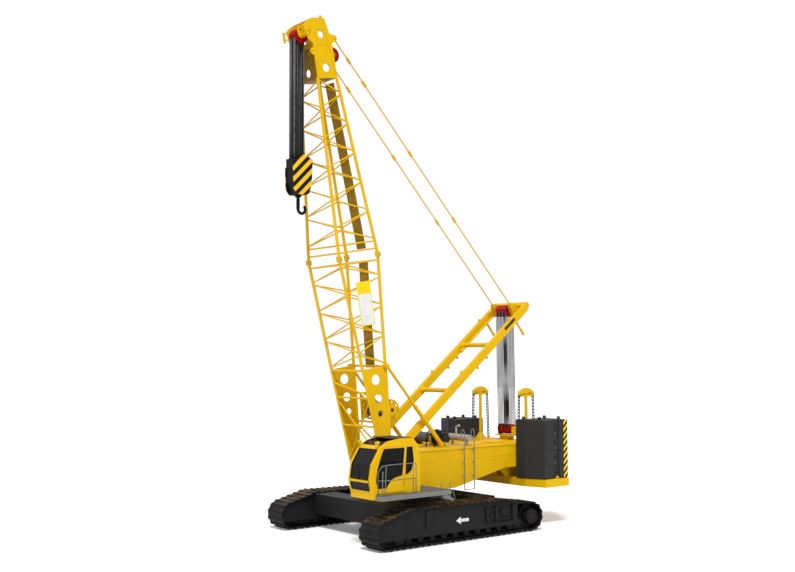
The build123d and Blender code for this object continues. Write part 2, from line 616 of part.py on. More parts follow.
add("cab_left_wall", fuse([left_wall, runner]))
add("cab_glass", side_plate(quarter_window, CAB_OUTER_X - 30, CAB_OUTER_X - 30 + GLASS))
right_window = side_face([(-3300, 3340), (-2000, 3340), (-2000, 2350), (-3450, 2350), (-3450, 3050)])
right_wall = side_plate(wall_face, CAB_INNER_X, CAB_INNER_X + CAB_WALL)
right_wall = right_wall - side_plate(right_window, CAB_INNER_X - 50, CAB_INNER_X + 200)
add("cab_right_wall", right_wall)
add("cab_glass", side_plate(right_window, CAB_INNER_X + 20, CAB_INNER_X + 20 + GLASS))
door_outline = [(-3640, 1900), (-2440, 1900), (-2350, 3400), (-3270, 3400), (-3560, 3050), (-3700, 2560)]
door_window = side_face([(-3310, 3350), (-2450, 3350), (-2550, 2450), (-2850, 2400), (-3020, 2320),
                         (-3230, 2070), (-3560, 2070), (-3640, 2300), (-3580, 2690), (-3430, 3110)])
door_x0 = CAB_OUTER_X + DOOR_GAP
door = side_plate(side_face(door_outline), door_x0, door_x0 + DOOR_THICKNESS)
door = door - side_plate(door_window, door_x0 - 50, door_x0 + 100)
add("cab_door", door)
add("cab_door_glass", side_plate(door_window, door_x0 + 10, door_x0 + 10 + GLASS))
seat_x = (CAB_INNER_X + CAB_OUTER_X) / 2
seat_floor = CAB_FLOOR_Z + CAB_WALL
add("cab_seat", fuse([
    block(seat_x - 180, seat_x + 180, -2750, -2350, seat_floor, 2250),
    block(seat_x - 250, seat_x + 250, -2850, -2300, 2250, 2370),
    block(seat_x - 240, seat_x + 240, -2380, -2250, 2370, 3050)]))

# Walkway, handrail, steps and ladder
walk = block(DECK_HALF_WIDTH + 0.0, WALK_OUTER_X, WALK_FRONT_Y, WALK_REAR_Y, WALK_TOP_Z - WALK_THICKNESS,
             WALK_TOP_Z)
add("cab_platform", walk)
rail_x = WALK_OUTER_X - RAIL_R - 12
front_post_y = -3400
rear_post_y = -2010
rail_end_y = -1730
rail_front_y = WALK_FRONT_Y + RAIL_R + 12
RAIL_BEND = 110.0


def rail_tube(points):
    """A round tube along straight runs joined by bends."""
    path = FilletPolyline(*points, radius=RAIL_BEND)
    start = path.edges()[0]
    section = Plane(origin=start.position_at(0), z_dir=start.tangent_at(0)) * Circle(RAIL_R)
    return sweep(section, path=path)


rail_inner_x = CAB_OUTER_X + DOOR_GAP + DOOR_THICKNESS + 60
rails = [
    rail_tube([(rail_x, rear_post_y, WALK_TOP_Z), (rail_x, rear_post_y, RAIL_TOP_Z),
               (rail_x, front_post_y, RAIL_TOP_Z), (rail_x, front_post_y, WALK_TOP_Z)]),
    rail_tube([(rail_x, rear_post_y, RAIL_TOP_Z - 10), (rail_x, rail_end_y, RAIL_TOP_Z - 10),
               (rail_x, rail_end_y, WALK_TOP_Z)]),
    rail_tube([(rail_x, front_post_y, RAIL_TOP_Z - 10), (rail_x, rail_front_y, RAIL_TOP_Z - 10),
               (rail_x, rail_front_y, WALK_TOP_Z)]),
    rod((rail_x, rail_front_y, RAIL_MID_Z), (rail_x, rail_end_y, RAIL_MID_Z), RAIL_R * 0.8),
    rod((rail_x, rail_front_y, RAIL_MID_Z), (rail_inner_x, rail_front_y, RAIL_MID_Z), RAIL_R * 0.8),
    rod((rail_inner_x, rail_front_y, WALK_TOP_Z), (rail_inner_x, rail_front_y, RAIL_MID_Z), RAIL_R * 0.8),
    Pos(rail_inner_x, rail_front_y, RAIL_MID_Z) * Sphere(RAIL_R * 0.8),
]
add("handrail", fuse(rails))
for y in (-1040, -560):
    add("handrail", rod((rail_x, y, WALK_TOP_Z), (rail_x, y, 2130), 16) if y < WALK_REAR_Y else
        rod((rail_x, WALK_REAR_Y - 40, WALK_TOP_Z), (rail_x, WALK_REAR_Y - 40, 2130), 16))
step_parts = []
for index in range(3):
    y0 = -960 + 150 * index
    z0 = 1620 - 75 * index
    step_parts.append(block(WALK_OUTER_X - 500, WALK_OUTER_X - 40, y0, y0 + 160, z0, z0 + 30))
for x in (WALK_OUTER_X - 520, WALK_OUTER_X - 40):
    step_parts.append(side_plate(side_face([(-980, WALK_TOP_Z - WALK_THICKNESS), (-980, 1600),
                                            (-520, 1440), (-480, 1500), (-740, WALK_TOP_Z - WALK_THICKNESS)]),
                                 x, x + 20))
add("access_steps", fuse(step_parts))
ladder_x = DECK_HALF_WIDTH + 120
ladder_hook_x = ladder_x - 170
ladder = []
for y in (LADDER_FRONT_Y, LADDER_REAR_Y):
    hook_line = FilletPolyline((ladder_x, y, LADDER_BOTTOM_Z), (ladder_x, y, LADDER_TOP_Z - 120),
                               (ladder_x - 85, y, LADDER_TOP_Z), (ladder_hook_x, y, LADDER_TOP_Z - 100),
                               (ladder_hook_x, y, LADDER_TOP_Z - 300), radius=45)
    ladder.append(sweep(Pos(ladder_x, y, LADDER_BOTTOM_Z) * Circle(LADDER_R), path=hook_line))
    for z in (2000, 2500, 2960):
        ladder.append(rod((ladder_x, y, z), (DECK_HALF_WIDTH, y, z), LADDER_R * 0.8))
    ladder.append(Pos(ladder_x, y, LADDER_BOTTOM_Z) * Sphere(LADDER_R))
ladder.append(rod((ladder_x, LADDER_FRONT_Y, LADDER_BOTTOM_Z), (ladder_x, LADDER_REAR_Y, LADDER_BOTTOM_Z),
                  LADDER_R * 0.8))
add("access_ladder", fuse(ladder))

# Muffler and exhaust, winch behind the cab
muffler = fuse([
    pin_x(1960, 3350, 130, 330, 1530),
    rod((750, 1960, 3350), (750, 1960, 3760), 40),
    rod((750, 1960, 3740), (930, 1960, 3800), 42),
    block(500, 560, 1920, 2000, DECK_TOP_Z, 3350),
    block(1320, 1380, 1920, 2000, DECK_TOP_Z, 3350)])
add("muffler", muffler)
deck_drum = fuse([pin_x(DECK_WINCH_Y, DECK_WINCH_Z, 60, -760, 360),
                  pin_x(DECK_WINCH_Y, DECK_WINCH_Z, 170, -690, 290),
                  pin_x(DECK_WINCH_Y, DECK_WINCH_Z, 260, -690, -650),
                  pin_x(DECK_WINCH_Y, DECK_WINCH_Z, 260, 250, 290)])
add("deck_winch_drum", deck_drum)

# Luffing sheaves on the deck
luff_pedestal = fuse([
    block(-450, 450, LUFF_SHEAVE_Y - 260, LUFF_SHEAVE_Y + 235, DECK_TOP_Z + 150, DECK_TOP_Z + 190),
    block(-250, 250, LUFF_SHEAVE_Y - 180, LUFF_SHEAVE_Y + 140, DECK_TOP_Z, DECK_TOP_Z + 150),
    block(-420, -380, LUFF_SHEAVE_Y - 120, LUFF_SHEAVE_Y + 120, DECK_TOP_Z + 190, LUFF_SHEAVE_Z + 110),
    block(380, 420, LUFF_SHEAVE_Y - 120, LUFF_SHEAVE_Y + 120, DECK_TOP_Z + 190, LUFF_SHEAVE_Z + 110)])
luff_pin_r = 50.0
luff_pedestal = luff_pedestal - pin_x(LUFF_SHEAVE_Y, LUFF_SHEAVE_Z, luff_pin_r + 0.05, -500, 500)
add("luffing_bracket", luff_pedestal)


def sheave_pack(y, z, radius, half_width, count, axle_r, axle_half):
    """Grooved sheaves side by side on one axle."""
    width = 2 * half_width / count
    pieces = [pin_x(y, z, axle_r, -axle_half, axle_half)]
    profile = []
    for index in range(count):
        x0 = -half_width + index * width
        profile.extend([(x0, radius), (x0 + width * 0.5, radius - SHEAVE_GROOVE)])
    profile.append((half_width, radius))
    outline = [(-half_width, 0)] + profile + [(half_width, 0)]
    wheel = revolve(make_face(Polyline(*outline, close=True)), axis=Axis.X)
    pieces.append(Pos(0, y, z) * wheel)
    return fuse(pieces)


def rope_line(radius, half_width, count):
    """Radius at which a rope's centre runs when the rope lies just clear of both groove sides."""
    slope = math.atan2(half_width / count, SHEAVE_GROOVE)
    return radius - SHEAVE_GROOVE + (ROPE_R + FIT_GAP) / math.sin(slope)


add("luffing_sheaves", sheave_pack(LUFF_SHEAVE_Y, LUFF_SHEAVE_Z, LUFF_SHEAVE_R, LUFF_SHEAVE_PACK / 2,
                                   LUFF_FALLS, luff_pin_r, 420))

# Boom
place_boom = Pos(0, FOOT_Y, FOOT_Z) * Rot(X=BOOM_LEAN)


def boom_point(n, h):
    """World Y and Z of a point of the boom's own frame."""
    y = FOOT_Y + n * math.cos(rad(BOOM_LEAN)) - h * math.sin(rad(BOOM_LEAN))
    z = FOOT_Z + n * math.sin(rad(BOOM_LEAN)) + h * math.cos(rad(BOOM_LEAN))
    return y, z


def half_depth(h):
    if h <= JOINT_H:
        return FOOT_HALF_DEPTH + (JOINT_HALF_DEPTH - FOOT_HALF_DEPTH) * h / JOINT_H
    share = min(1.0, (h - JOINT_H) / (HEAD_H - JOINT_H))
    return JOINT_HALF_DEPTH + (HEAD_HALF_DEPTH - JOINT_HALF_DEPTH) * share


def half_width(h):
    if h <= JOINT_H:
        return BOOM_HALF_WIDTH
    share = min(1.0, (h - JOINT_H) / (HEAD_H - JOINT_H))
    return BOOM_HALF_WIDTH + (HEAD_HALF_WIDTH - BOOM_HALF_WIDTH) * share


def corner(x_side, n_side, h):
    return (x_side * half_width(h), n_side * half_depth(h), h)


def lace(start, end, radius):
    """A tube between two chords, cut off inside each chord's wall."""
    start = Vector(*start)
    end = Vector(*end)
    inside = (end - start).normalized() * (CHORD_R * 0.6)
    return rod(tuple(start + inside), tuple(end - inside), radius)


def zigzag(first, second, h0, h1, count, start_first):
    """Lacing between two chords: each lace ends a little past the one before."""
    laces = []
    step = (h1 - h0) / count
    relief = 42.0
    for index in range(count):
        low = h0 + index * step + relief
        high = h0 + (index + 1) * step - relief
        a, b = (first, second) if (index % 2 == 0) == start_first else (second, first)
        laces.append(lace(corner(*a, low), corner(*b, high), LACE_R))
    return laces


def lattice(h0, h1, rings):
    pieces = []
    corners = [(-1, -1), (1, -1), (1, 1), (-1, 1)]
    count = max(2, round((h1 - h0) / BAY))
    step = (h1 - h0) / count
    for index in range(4):
        first = corners[index]
        second = corners[(index + 1) % 4]
        pieces.extend(zigzag(first, second, h0, h1, count, index % 2 == 0))
    for h in rings:
        for index in range(4):
            pieces.append(lace(corner(*corners[index], h), corner(*corners[(index + 1) % 4], h), FRAME_TUBE_R))
    return pieces


lower_top = JOINT_H - 190
upper_bottom = JOINT_H + 190
base_pieces = lattice(BASE_PLATE_TOP_H + 40, lower_top - 60, [lower_top - 20])
joint_half = 75.0
for x_side in (-1, 1):
    for n_side in (-1, 1):
        base_pieces.append(rod(corner(x_side, n_side, 40), corner(x_side, n_side, JOINT_H - 40), CHORD_R))
        x, n, h = corner(x_side, n_side, JOINT_H)
        base_pieces.append(block(x - joint_half, x + joint_half, n - joint_half, n + joint_half, h - 95, h))
    x0, x1 = sorted((x_side * (BOOM_HALF_WIDTH + 15), x_side * (STOP_X - STOP_EYE_HALF)))
    base_pieces.append(block(x0, x1, STOP_TOP_N - 70, STOP_TOP_N + 90, STOP_TOP_H - 80, STOP_TOP_H + 80))
    d0 = half_depth(BASE_PLATE_BOTTOM_H)
    d1 = half_depth(BASE_PLATE_TOP_H)
    plate = side_face([(-d0, BASE_PLATE_BOTTOM_H), (d0, BASE_PLATE_BOTTOM_H), (d1, BASE_PLATE_TOP_H),
                       (-d1, BASE_PLATE_TOP_H)])
    x = x_side * BOOM_HALF_WIDTH
    plate = side_plate(plate, x - BASE_PLATE / 2, x + BASE_PLATE / 2)
    for h, radius in ((3550, 190), (2870, 165), (2320, 115)):
        plate = plate - pin_x(0, h, radius, x - BASE_PLATE, x + BASE_PLATE)
    base_pieces.append(plate)
    d2 = half_depth(0)
    lower_plate = side_face([(-d2, 0), (d2, 0), (d0, BASE_PLATE_BOTTOM_H), (-d0, BASE_PLATE_BOTTOM_H)])
    base_pieces.append(side_plate(lower_plate, x - 30, x + 30))
    base_pieces.append(pin_x(0, 0, 175, x - foot_lug_half, x + foot_lug_half))
for n_side in (-1, 1):
    for h in (500, 1900, 2950, 3960):
        base_pieces.append(lace(corner(-1, n_side, h), corner(1, n_side, h), 40))
base_pieces.append(lace(corner(-1, -1, 2850), corner(1, -1, 620), 32))
base_pieces.append(lace(corner(1, -1, 2850), corner(-1, -1, 620), 30))
base_pieces.append(lace(corner(-1, 1, 1800), corner(1, 1, 620), 32))
base_pieces.append(lace(corner(-1, -1, 3500), corner(1, -1, 3060), 32))
for x in (-680, 680):
    bracket = side_face([(half_depth(1900) - 20, 1900), (WINCH_N + 120, WINCH_H - 130),
                         (WINCH_N + 120, WINCH_H + 130), (half_depth(2950) - 20, 2950)])
    base_pieces.append(side_plate(bracket, x - 20, x + 20))
boom_base = fuse(base_pieces)
for x_side in (-1, 1):
    x = x_side * BOOM_HALF_WIDTH
    boom_base = boom_base - pin_x(0, 0, FOOT_PIN_R + 0.05, x - 300, x + 300)
boom_base = boom_base - pin_x(WINCH_N, WINCH_H, WINCH_PIN_R + 0.05, -800, 800)
add("boom_base", boom_base, place_boom)

drum_half = WINCH_HALF_LENGTH - WINCH_FLANGE
drum = fuse([pin_x(WINCH_N, WINCH_H, WINCH_DRUM_R, -drum_half, drum_half),
             pin_x(WINCH_N, WINCH_H, WINCH_PIN_R, -700, 700)])
add("boom_winch_drum", drum, place_boom)
flange = pin_x(WINCH_N, WINCH_H, WINCH_FLANGE_R, drum_half, WINCH_HALF_LENGTH)
flange = fuse([flange, pin_x(WINCH_N, WINCH_H, 150, drum_half, WINCH_HALF_LENGTH + 25)])
flange = flange - pin_x(WINCH_N, WINCH_H, WINCH_PIN_R, drum_half - 1, WINCH_HALF_LENGTH + 30)
for index in range(8):
    angle = 2 * math.pi * (index + 0.5) / 8
    hole_n = WINCH_N + WINCH_FLANGE_R * 0.76 * math.cos(angle)
    hole_h = WINCH_H + WINCH_FLANGE_R * 0.76 * math.sin(angle)
    flange = flange - pin_x(hole_n, hole_h, 38, drum_half - 1, WINCH_HALF_LENGTH + 30)
add("boom_winch_flanges", both_sides(flange), place_boom)

top_pieces = lattice(upper_bottom + 350, HEAD_H - 20, [upper_bottom + 20, upper_bottom + 290])
head_front = -HEAD_HALF_DEPTH
head_rear = HEAD_HALF_DEPTH + 40
for x_side in (-1, 1):
    for n_side in (-1, 1):
        top_pieces.append(rod(corner(x_side, n_side, JOINT_H + 40), corner(x_side, n_side, HEAD_H + 25), CHORD_R))
        x, n, h = corner(x_side, n_side, JOINT_H)
        top_pieces.append(block(x - joint_half, x + joint_half, n - joint_half, n + joint_half, h, h + 95))
head_outline = [
    (head_front, HEAD_H), (head_front, HEAD_H + 1250), (-570, HEAD_H + 1385), (-665, HEAD_H + 1565),
    (-735, HEAD_H + 1880), (-600, HEAD_H + 2000), (-330, TIP_H), (210, TIP_H),
    (350, HEAD_H + 1580), (590, HEAD_H + 1535), (660, HEAD_H + 1450),
    (625, HEAD_H + 1340), (400, HEAD_H + 1240),
    (head_rear, HEAD_H)]
rim_runs = [((-345, HEAD_H + 30), (-300, HEAD_H + 1200)), ((-300, HEAD_H + 1200), (-205, HEAD_H + 1760)),
            ((-205, HEAD_H + 1760), (190, HEAD_H + 1760)),
            ((190, HEAD_H + 1760), (250, HEAD_H + 1200)), ((250, HEAD_H + 1200), (380, HEAD_H + 30)),
            ((-300, HEAD_H + 1200), (250, HEAD_H + 1200))]
for x_side in (-1, 1):
    x = x_side * HEAD_HALF_WIDTH
    plate = side_plate(side_face(head_outline), x - HEAD_PLATE / 2, x + HEAD_PLATE / 2)
    outside = x + x_side * HEAD_PLATE / 2
    rims = []
    for (n0, h0), (n1, h1) in rim_runs:
        rims.append(bar((outside, n0, h0), (outside, n1, h1), 34, 20))
    rims.append(pin_x(-500, HEAD_H + 1710, 75, outside - 10, outside + 16))
    plate = fuse([plate] + rims)
    plate_holes = ((-40, HEAD_H + 1550, 125), (10, HEAD_H + 370, 150), (-500, HEAD_H + 1710, 30),
                   (-30, HEAD_H + 2015, 26),
                   (PENDANT_TOP_N, PENDANT_TOP_H, PENDANT_PIN_R + 0.05))
    for n, h, radius in plate_holes:
        plate = plate - pin_x(n, h, radius, x - 2 * HEAD_PLATE, x + 2 * HEAD_PLATE)
    top_pieces.append(plate)
    front_lug = side_face([(head_front + 20, HEAD_H + 810), (-540, HEAD_H + 890), (-585, HEAD_H + 970),
                           (-540, HEAD_H + 1050), (head_front + 20, HEAD_H + 1130)])
    front_lug = side_plate(front_lug, x - 15, x + 15) - pin_x(-500, HEAD_H + 970, 32, x - 20, x + 20)
    top_pieces.append(front_lug)
    cheek = side_face([(WEB_N - 10, HEAD_H + 1980), (-740, HEAD_H + 1940), (-800, HEAD_H + 1750),
                       (-760, HEAD_H + 1570), (-640, HEAD_H + 1490), (-520, HEAD_H + 1520),
                       (WEB_N - 10, HEAD_H + 1730)])
    cheek = side_plate(cheek, x_side * CHEEK_X - CHEEK_PLATE / 2, x_side * CHEEK_X + CHEEK_PLATE / 2)
    top_pieces.append(cheek - pin_x(-655, HEAD_H + 1800, 34, -400, 400))
front_web = block(-HEAD_HALF_WIDTH, HEAD_HALF_WIDTH, head_front, head_front + 30, HEAD_H, HEAD_H + 1110)
front_web = front_web - rod((0, head_front - 50, HEAD_H + 270), (0, head_front + 90, HEAD_H + 270), 145)
front_web = front_web - rod((150, head_front - 50, HEAD_H + 920), (150, head_front + 90, HEAD_H + 920), 120)
top_pieces.append(front_web)
upper_web = block(-HEAD_HALF_WIDTH, HEAD_HALF_WIDTH, WEB_N - 30, WEB_N, HEAD_H + 1680, TIP_H - 20)
top_pieces.append(upper_web)
top_pieces.append(block(-HEAD_HALF_WIDTH, HEAD_HALF_WIDTH, head_front, head_rear, HEAD_H, HEAD_H + 30))
top_pieces.append(block(-HEAD_HALF_WIDTH, HEAD_HALF_WIDTH, head_front, head_rear - 40,
                        HEAD_H + 800, HEAD_H + 830))
top_pieces.append(block(-HEAD_HALF_WIDTH, HEAD_HALF_WIDTH, -320, 200, TIP_H - 30, TIP_H))
for x_side in (-1, 1):
    x = x_side * (HEAD_HALF_WIDTH - 60)
    top_lug = side_face([(20, TIP_H - 5), (180, TIP_H - 5), (135, TIP_H + 105), (80, TIP_H + 105)])
    top_pieces.append(side_plate(top_lug, x - 12, x + 12))
for x in (-110, 110):
    top_pieces.append(side_plate(side_face([
        (head_rear - 80, HEAD_H + 730), (GUIDE_N + 40, GUIDE_H - 120), (GUIDE_N + 130, GUIDE_H),
        (GUIDE_N + 40, GUIDE_H + 120), (head_rear - 80, HEAD_H + 1190)]), x - 15, x + 15))
boom_top = fuse(top_pieces)
guide_pin_r = 40.0
boom_top = boom_top - pin_x(GUIDE_N, GUIDE_H, guide_pin_r + 0.05, -200, 200)
boom_top = boom_top - pin_x(SHEAVE_N, SHEAVE_H, SHEAVE_AXLE_R + 0.05, -700, 700)
add("boom_top", boom_top, place_boom)

head_sheaves = sheave_pack(SHEAVE_N, SHEAVE_H, SHEAVE_R, SHEAVE_PACK / 2, HOIST_FALLS,
                           SHEAVE_AXLE_R, HEAD_HALF_WIDTH + 40)
add("head_sheaves", head_sheaves, place_boom)

add("guide_sheave", sheave_pack(GUIDE_N, GUIDE_H, GUIDE_R, 60, 1, guide_pin_r, 130), place_boom)

# Rope guard in front of the head sheaves, on two arms from the far cheek
guard_x = -CHEEK_X - CHEEK_PLATE / 2
guard_n = SHEAVE_N - SHEAVE_R - 120
guard_pieces = [block(guard_x - 120, guard_x + 10, guard_n - 25, guard_n, HEAD_H + 1430, HEAD_H + 1805)]
for h in (HEAD_H + 1530, HEAD_H + 1750):
    guard_pieces.append(block(guard_x - 30, guard_x, guard_n - 5, -700, h - 15, h + 15))
add("head_guard", fuse(guard_pieces), place_boom)

# Catwalk up the rear face, in two lengths
walk_offset = FRAME_TUBE_R + FIT_GAP + CATWALK_THICKNESS / 2


def walk_strip(h0, h1):
    """A strip lying on the rear face's cross tubes."""
    return bar((0, half_depth(h0) + walk_offset, h0), (0, half_depth(h1) + walk_offset, h1),
               CATWALK_THICKNESS, CATWALK_WIDTH)


walk_lower = walk_strip(BASE_PLATE_TOP_H + 110, lower_top)
walk_upper = walk_strip(upper_bottom + 60, HEAD_H - 100)
add("boom_catwalk", [walk_lower, walk_upper], place_boom)

# Backstops, fixed to the boom's rear chords and standing just clear of their deck pads
stop_top_y, stop_top_z = boom_point(STOP_TOP_N, STOP_TOP_H)
stop_foot_z = DECK_TOP_Z + 6 + 60
for side in (-1, 1):
    top = (side * STOP_X, stop_top_y, stop_top_z)
    foot = (side * STOP_X, STOP_FOOT_Y, stop_foot_z + 60)
    middle = (side * STOP_X, stop_top_y + (STOP_FOOT_Y - stop_top_y) * 0.5,
              stop_top_z + (stop_foot_z + 60 - stop_top_z) * 0.5)
    tube = fuse([rod(top, foot, STOP_R), rod(middle, foot, STOP_SLEEVE_R),
                 pin_x(STOP_FOOT_Y, stop_foot_z + 60, 95, side * STOP_X - 70, side * STOP_X + 70),
                 pin_x(stop_top_y, stop_top_z, 75, side * STOP_X - STOP_EYE_HALF, side * STOP_X + STOP_EYE_HALF)])
    add("backstops", tube)

# Pendants
pendant_top_y, pendant_top_z = boom_point(PENDANT_TOP_N, PENDANT_TOP_H)
pendant_axis = Vector(0, PENDANT_END_Y - pendant_top_y, PENDANT_END_Z - pendant_top_z)
pendant_direction = pendant_axis.normalized()
for side in (-1, 1):
    x = side * PENDANT_X
    eye_top = pin_x(pendant_top_y, pendant_top_z, PENDANT_EYE_R, x - 20, x + 20)
    x0, x1 = sorted((side * (PENDANT_X + 10), side * (HEAD_HALF_WIDTH + 40)))
    top_pin = pin_x(pendant_top_y, pendant_top_z, PENDANT_PIN_R, x0, x1)
    eye_end = pin_x(PENDANT_END_Y, PENDANT_END_Z, PENDANT_EYE_R, x - 20, x + 20)
    top = Vector(x, pendant_top_y, pendant_top_z) + pendant_direction * 40
    end = Vector(x, PENDANT_END_Y, PENDANT_END_Z) - pendant_direction * (PENDANT_EYE_R - 10)
    pin_half = CLEVIS_HALF - CLEVIS_PLATE / 2 - CLEVIS_CLEAR
    end_pin = pin_x(PENDANT_END_Y, PENDANT_END_Z, MAST_END_PIN_R, x - pin_half, x + pin_half)
    pieces = [rod(tuple(top), tuple(end), PENDANT_ROD_R), eye_top, top_pin, eye_end, end_pin]
    for run in CONNECTOR_RUNS:
        low = top + pendant_direction * run
        high = low + pendant_direction * CONNECTOR_LENGTH
        pieces.append(bar(tuple(low), tuple(high), 85, 56))
        for share in (0.22, 0.78):
            pin = low + pendant_direction * (CONNECTOR_LENGTH * share)
            pieces.append(pin_x(pin.Y, pin.Z, 22, x - 44, x + 44))
    add("pendants", fuse(pieces))

# Mast
place_mast = Pos(0, MAST_Y, MAST_Z) * Rot(X=MAST_ANGLE)


mast_pieces = []
for side in (-1, 1):
    x = side * MAST_LEG_X
    leg = side_face([(-70, -60), (0, -85), (600, -LEG_DEPTH / 2), (MAST_LENGTH - 250, -LEG_DEPTH / 2),
                     (MAST_LENGTH, -40), (MAST_LENGTH, LEG_DEPTH / 2), (600, LEG_DEPTH / 2), (0, 85), (-70, 60)])
    mast_pieces.append(side_plate(leg, x - LEG_WIDTH / 2, x + LEG_WIDTH / 2))
leg_inner = MAST_LEG_X - LEG_WIDTH / 2
for s in MAST_TUBE_S:
    mast_pieces.append(rod((-MAST_LEG_X, s, 0), (MAST_LEG_X, s, 0), 85))
    for side in (-1, 1):
        flare = Plane(origin=(side * (leg_inner - 75), s, 0), z_dir=(side, 0, 0))
        mast_pieces.append(flare * Cone(85, 130, 150))
sheave_s = MAST_LENGTH - MAST_SHEAVE_BACK
sheave_t = MAST_SHEAVE_T
stub_s = MAST_LENGTH - STUB_BACK
for side in (-1, 1):
    x = side * MAST_LEG_X
    mast_pieces.append(rod((x, stub_s, 0), (x, stub_s, -STUB_LENGTH), STUB_R))
    mast_pieces.append(rod((x, stub_s, -STUB_LENGTH + 60), (x, stub_s, -STUB_LENGTH), STUB_R + 14))
    for s in (MAST_LENGTH - 3740, MAST_LENGTH - 3120):
        lug = side_face([(s - 90, -LEG_DEPTH / 2 + 10), (s - 35, -LEG_DEPTH / 2 - 115),
                         (s + 35, -LEG_DEPTH / 2 - 115), (s + 60, -LEG_DEPTH / 2 + 10)])
        mast_pieces.append(side_plate(lug, x - 18, x + 18))
        mast_pieces.append(rod((x - 45, s, -LEG_DEPTH / 2 - 95), (x + 45, s, -LEG_DEPTH / 2 - 95), 24))
    for s in (MAST_LENGTH - 4490, MAST_LENGTH - 1210):
        lug = side_face([(s - 60, LEG_DEPTH / 2 - 10), (s - 40, LEG_DEPTH / 2 + 105),
                         (s + 30, LEG_DEPTH / 2 + 105), (s + 60, LEG_DEPTH / 2 - 10)])
        mast_pieces.append(side_plate(lug, x - 18, x + 18))
slim_x = -leg_inner + 90
upper_tube = MAST_TUBE_S[1]
mast_pieces.append(rod((slim_x, upper_tube - 300, -60), (slim_x, MAST_LENGTH - 120, -60), 45))
mast_pieces.append(rod((slim_x, upper_tube - 330, -60), (slim_x, upper_tube + 200, -60), 62))
mast_pieces.append(block(-MAST_LEG_X, MAST_LEG_X, MAST_LENGTH - 225, MAST_LENGTH - 20, -20, LEG_DEPTH / 2))
end_s = MAST_LENGTH - PENDANT_END_BACK
end_t = PENDANT_END_T
for x in (-PENDANT_X + CLEVIS_HALF, -PENDANT_X - CLEVIS_HALF, PENDANT_X - CLEVIS_HALF, PENDANT_X + CLEVIS_HALF):
    lug = side_face([(sheave_s - 150, -100), (MAST_LENGTH - 200, 30), (MAST_LENGTH - 200, 135),
                     (end_s + 60, end_t + 90), (end_s - 60, end_t + 90), (sheave_s - 150, 100)])
    mast_pieces.append(side_plate(lug, x - CLEVIS_PLATE / 2, x + CLEVIS_PLATE / 2))
mast = fuse(mast_pieces)
for side in (-1, 1):
    x = side * MAST_LEG_X
    mast = mast - pin_x(0, 0, MAST_PIN_R + 0.05, x - 200, x + 200)
mast_axle_r = 55.0
mast = mast - pin_x(sheave_s, sheave_t, mast_axle_r + 0.05, -700, 700)
add("mast", mast, place_mast)
add("mast_sheaves", sheave_pack(sheave_s, sheave_t, MAST_SHEAVE_R, MAST_SHEAVE_PACK / 2,
                                LUFF_FALLS, mast_axle_r, 600),
    place_mast)

# Foot pins of boom and mast
for side in (-1, 1):
    x = side * BOOM_HALF_WIDTH
    reach = foot_lug_half + foot_lug_gap + foot_lug_plate
    add("foot_pins", pin_x(FOOT_Y, FOOT_Z, FOOT_PIN_R, x - reach, x + reach))
    x = side * MAST_LEG_X
    reach = LEG_WIDTH / 2 + 6 + 40
    add("foot_pins", pin_x(MAST_Y, MAST_Z, MAST_PIN_R, x - reach, x + reach))

# Luffing ropes: falls along the outer tangents of the mast's sheaves and the deck's
low_r = rope_line(LUFF_SHEAVE_R, LUFF_SHEAVE_PACK / 2, LUFF_FALLS)
high_r = rope_line(MAST_SHEAVE_R, MAST_SHEAVE_PACK / 2, LUFF_FALLS)
low_centre = Vector(0, LUFF_SHEAVE_Y, LUFF_SHEAVE_Z)
high_centre = Vector(0, MAST_SHEAVE_Y, MAST_SHEAVE_Z)
span = high_centre - low_centre
along = span.normalized()
across = Vector(0, along.Z, -along.Y)
lift = (low_r - high_r) / span.length
for index in range(LUFF_FALLS):
    place = (index + 0.5) / LUFF_FALLS - 0.5
    low_x = Vector(place * LUFF_SHEAVE_PACK, 0, 0)
    high_x = Vector(place * MAST_SHEAVE_PACK, 0, 0)
    for edge in (-1, 1):
        reach = across * (edge * math.sqrt(1 - lift * lift)) + along * lift
        low = low_centre + low_x + reach * low_r
        high = high_centre + high_x + reach * high_r
        add("luffing_ropes", rod(tuple(low), tuple(high), ROPE_R))

# Hoist ropes, hook block and hook, plumb below the head sheaves
sheave_y, sheave_z = boom_point(SHEAVE_N, SHEAVE_H)
block_y = sheave_y
hoist_r = rope_line(SHEAVE_R, SHEAVE_PACK / 2, HOIST_FALLS)
for index in range(HOIST_FALLS):
    x = ((index + 0.5) / HOIST_FALLS - 0.5) * SHEAVE_PACK
    for edge in (-1, 1):
        y = sheave_y + edge * hoist_r
        add("hoist_ropes", rod((x, y, sheave_z), (x, y, BLOCK_HOUSING_TOP_Z + FIT_GAP), ROPE_R))
block_outline = [
    (130, BLOCK_TOP_Z), (430, BLOCK_TOP_Z - 150), (400, 12540), (290, 12190), (190, BLOCK_BOTTOM_Z),
    (-190, BLOCK_BOTTOM_Z), (-340, 12290), (-380, 13080), (20, BLOCK_TOP_Z)]
block_face = side_face([(block_y + y, z) for y, z in block_outline])
cheeks = []
for x in (-BLOCK_HALF_THICKNESS + 20, BLOCK_HALF_THICKNESS - 20):
    cheeks.append(side_plate(block_face, x - 20, x + 20))
housing_outline = [(-350, BLOCK_HOUSING_TOP_Z), (350, BLOCK_HOUSING_TOP_Z), (370, 12600),
                   (180, BLOCK_BOTTOM_Z), (-180, BLOCK_BOTTOM_Z), (-330, 12600)]
housing_face = side_face([(block_y + y, z) for y, z in housing_outline])
housing = side_plate(housing_face, -BLOCK_HALF_THICKNESS + 40, BLOCK_HALF_THICKNESS - 40)
add("hook_block", fuse([cheeks[0], housing, cheeks[1]]))
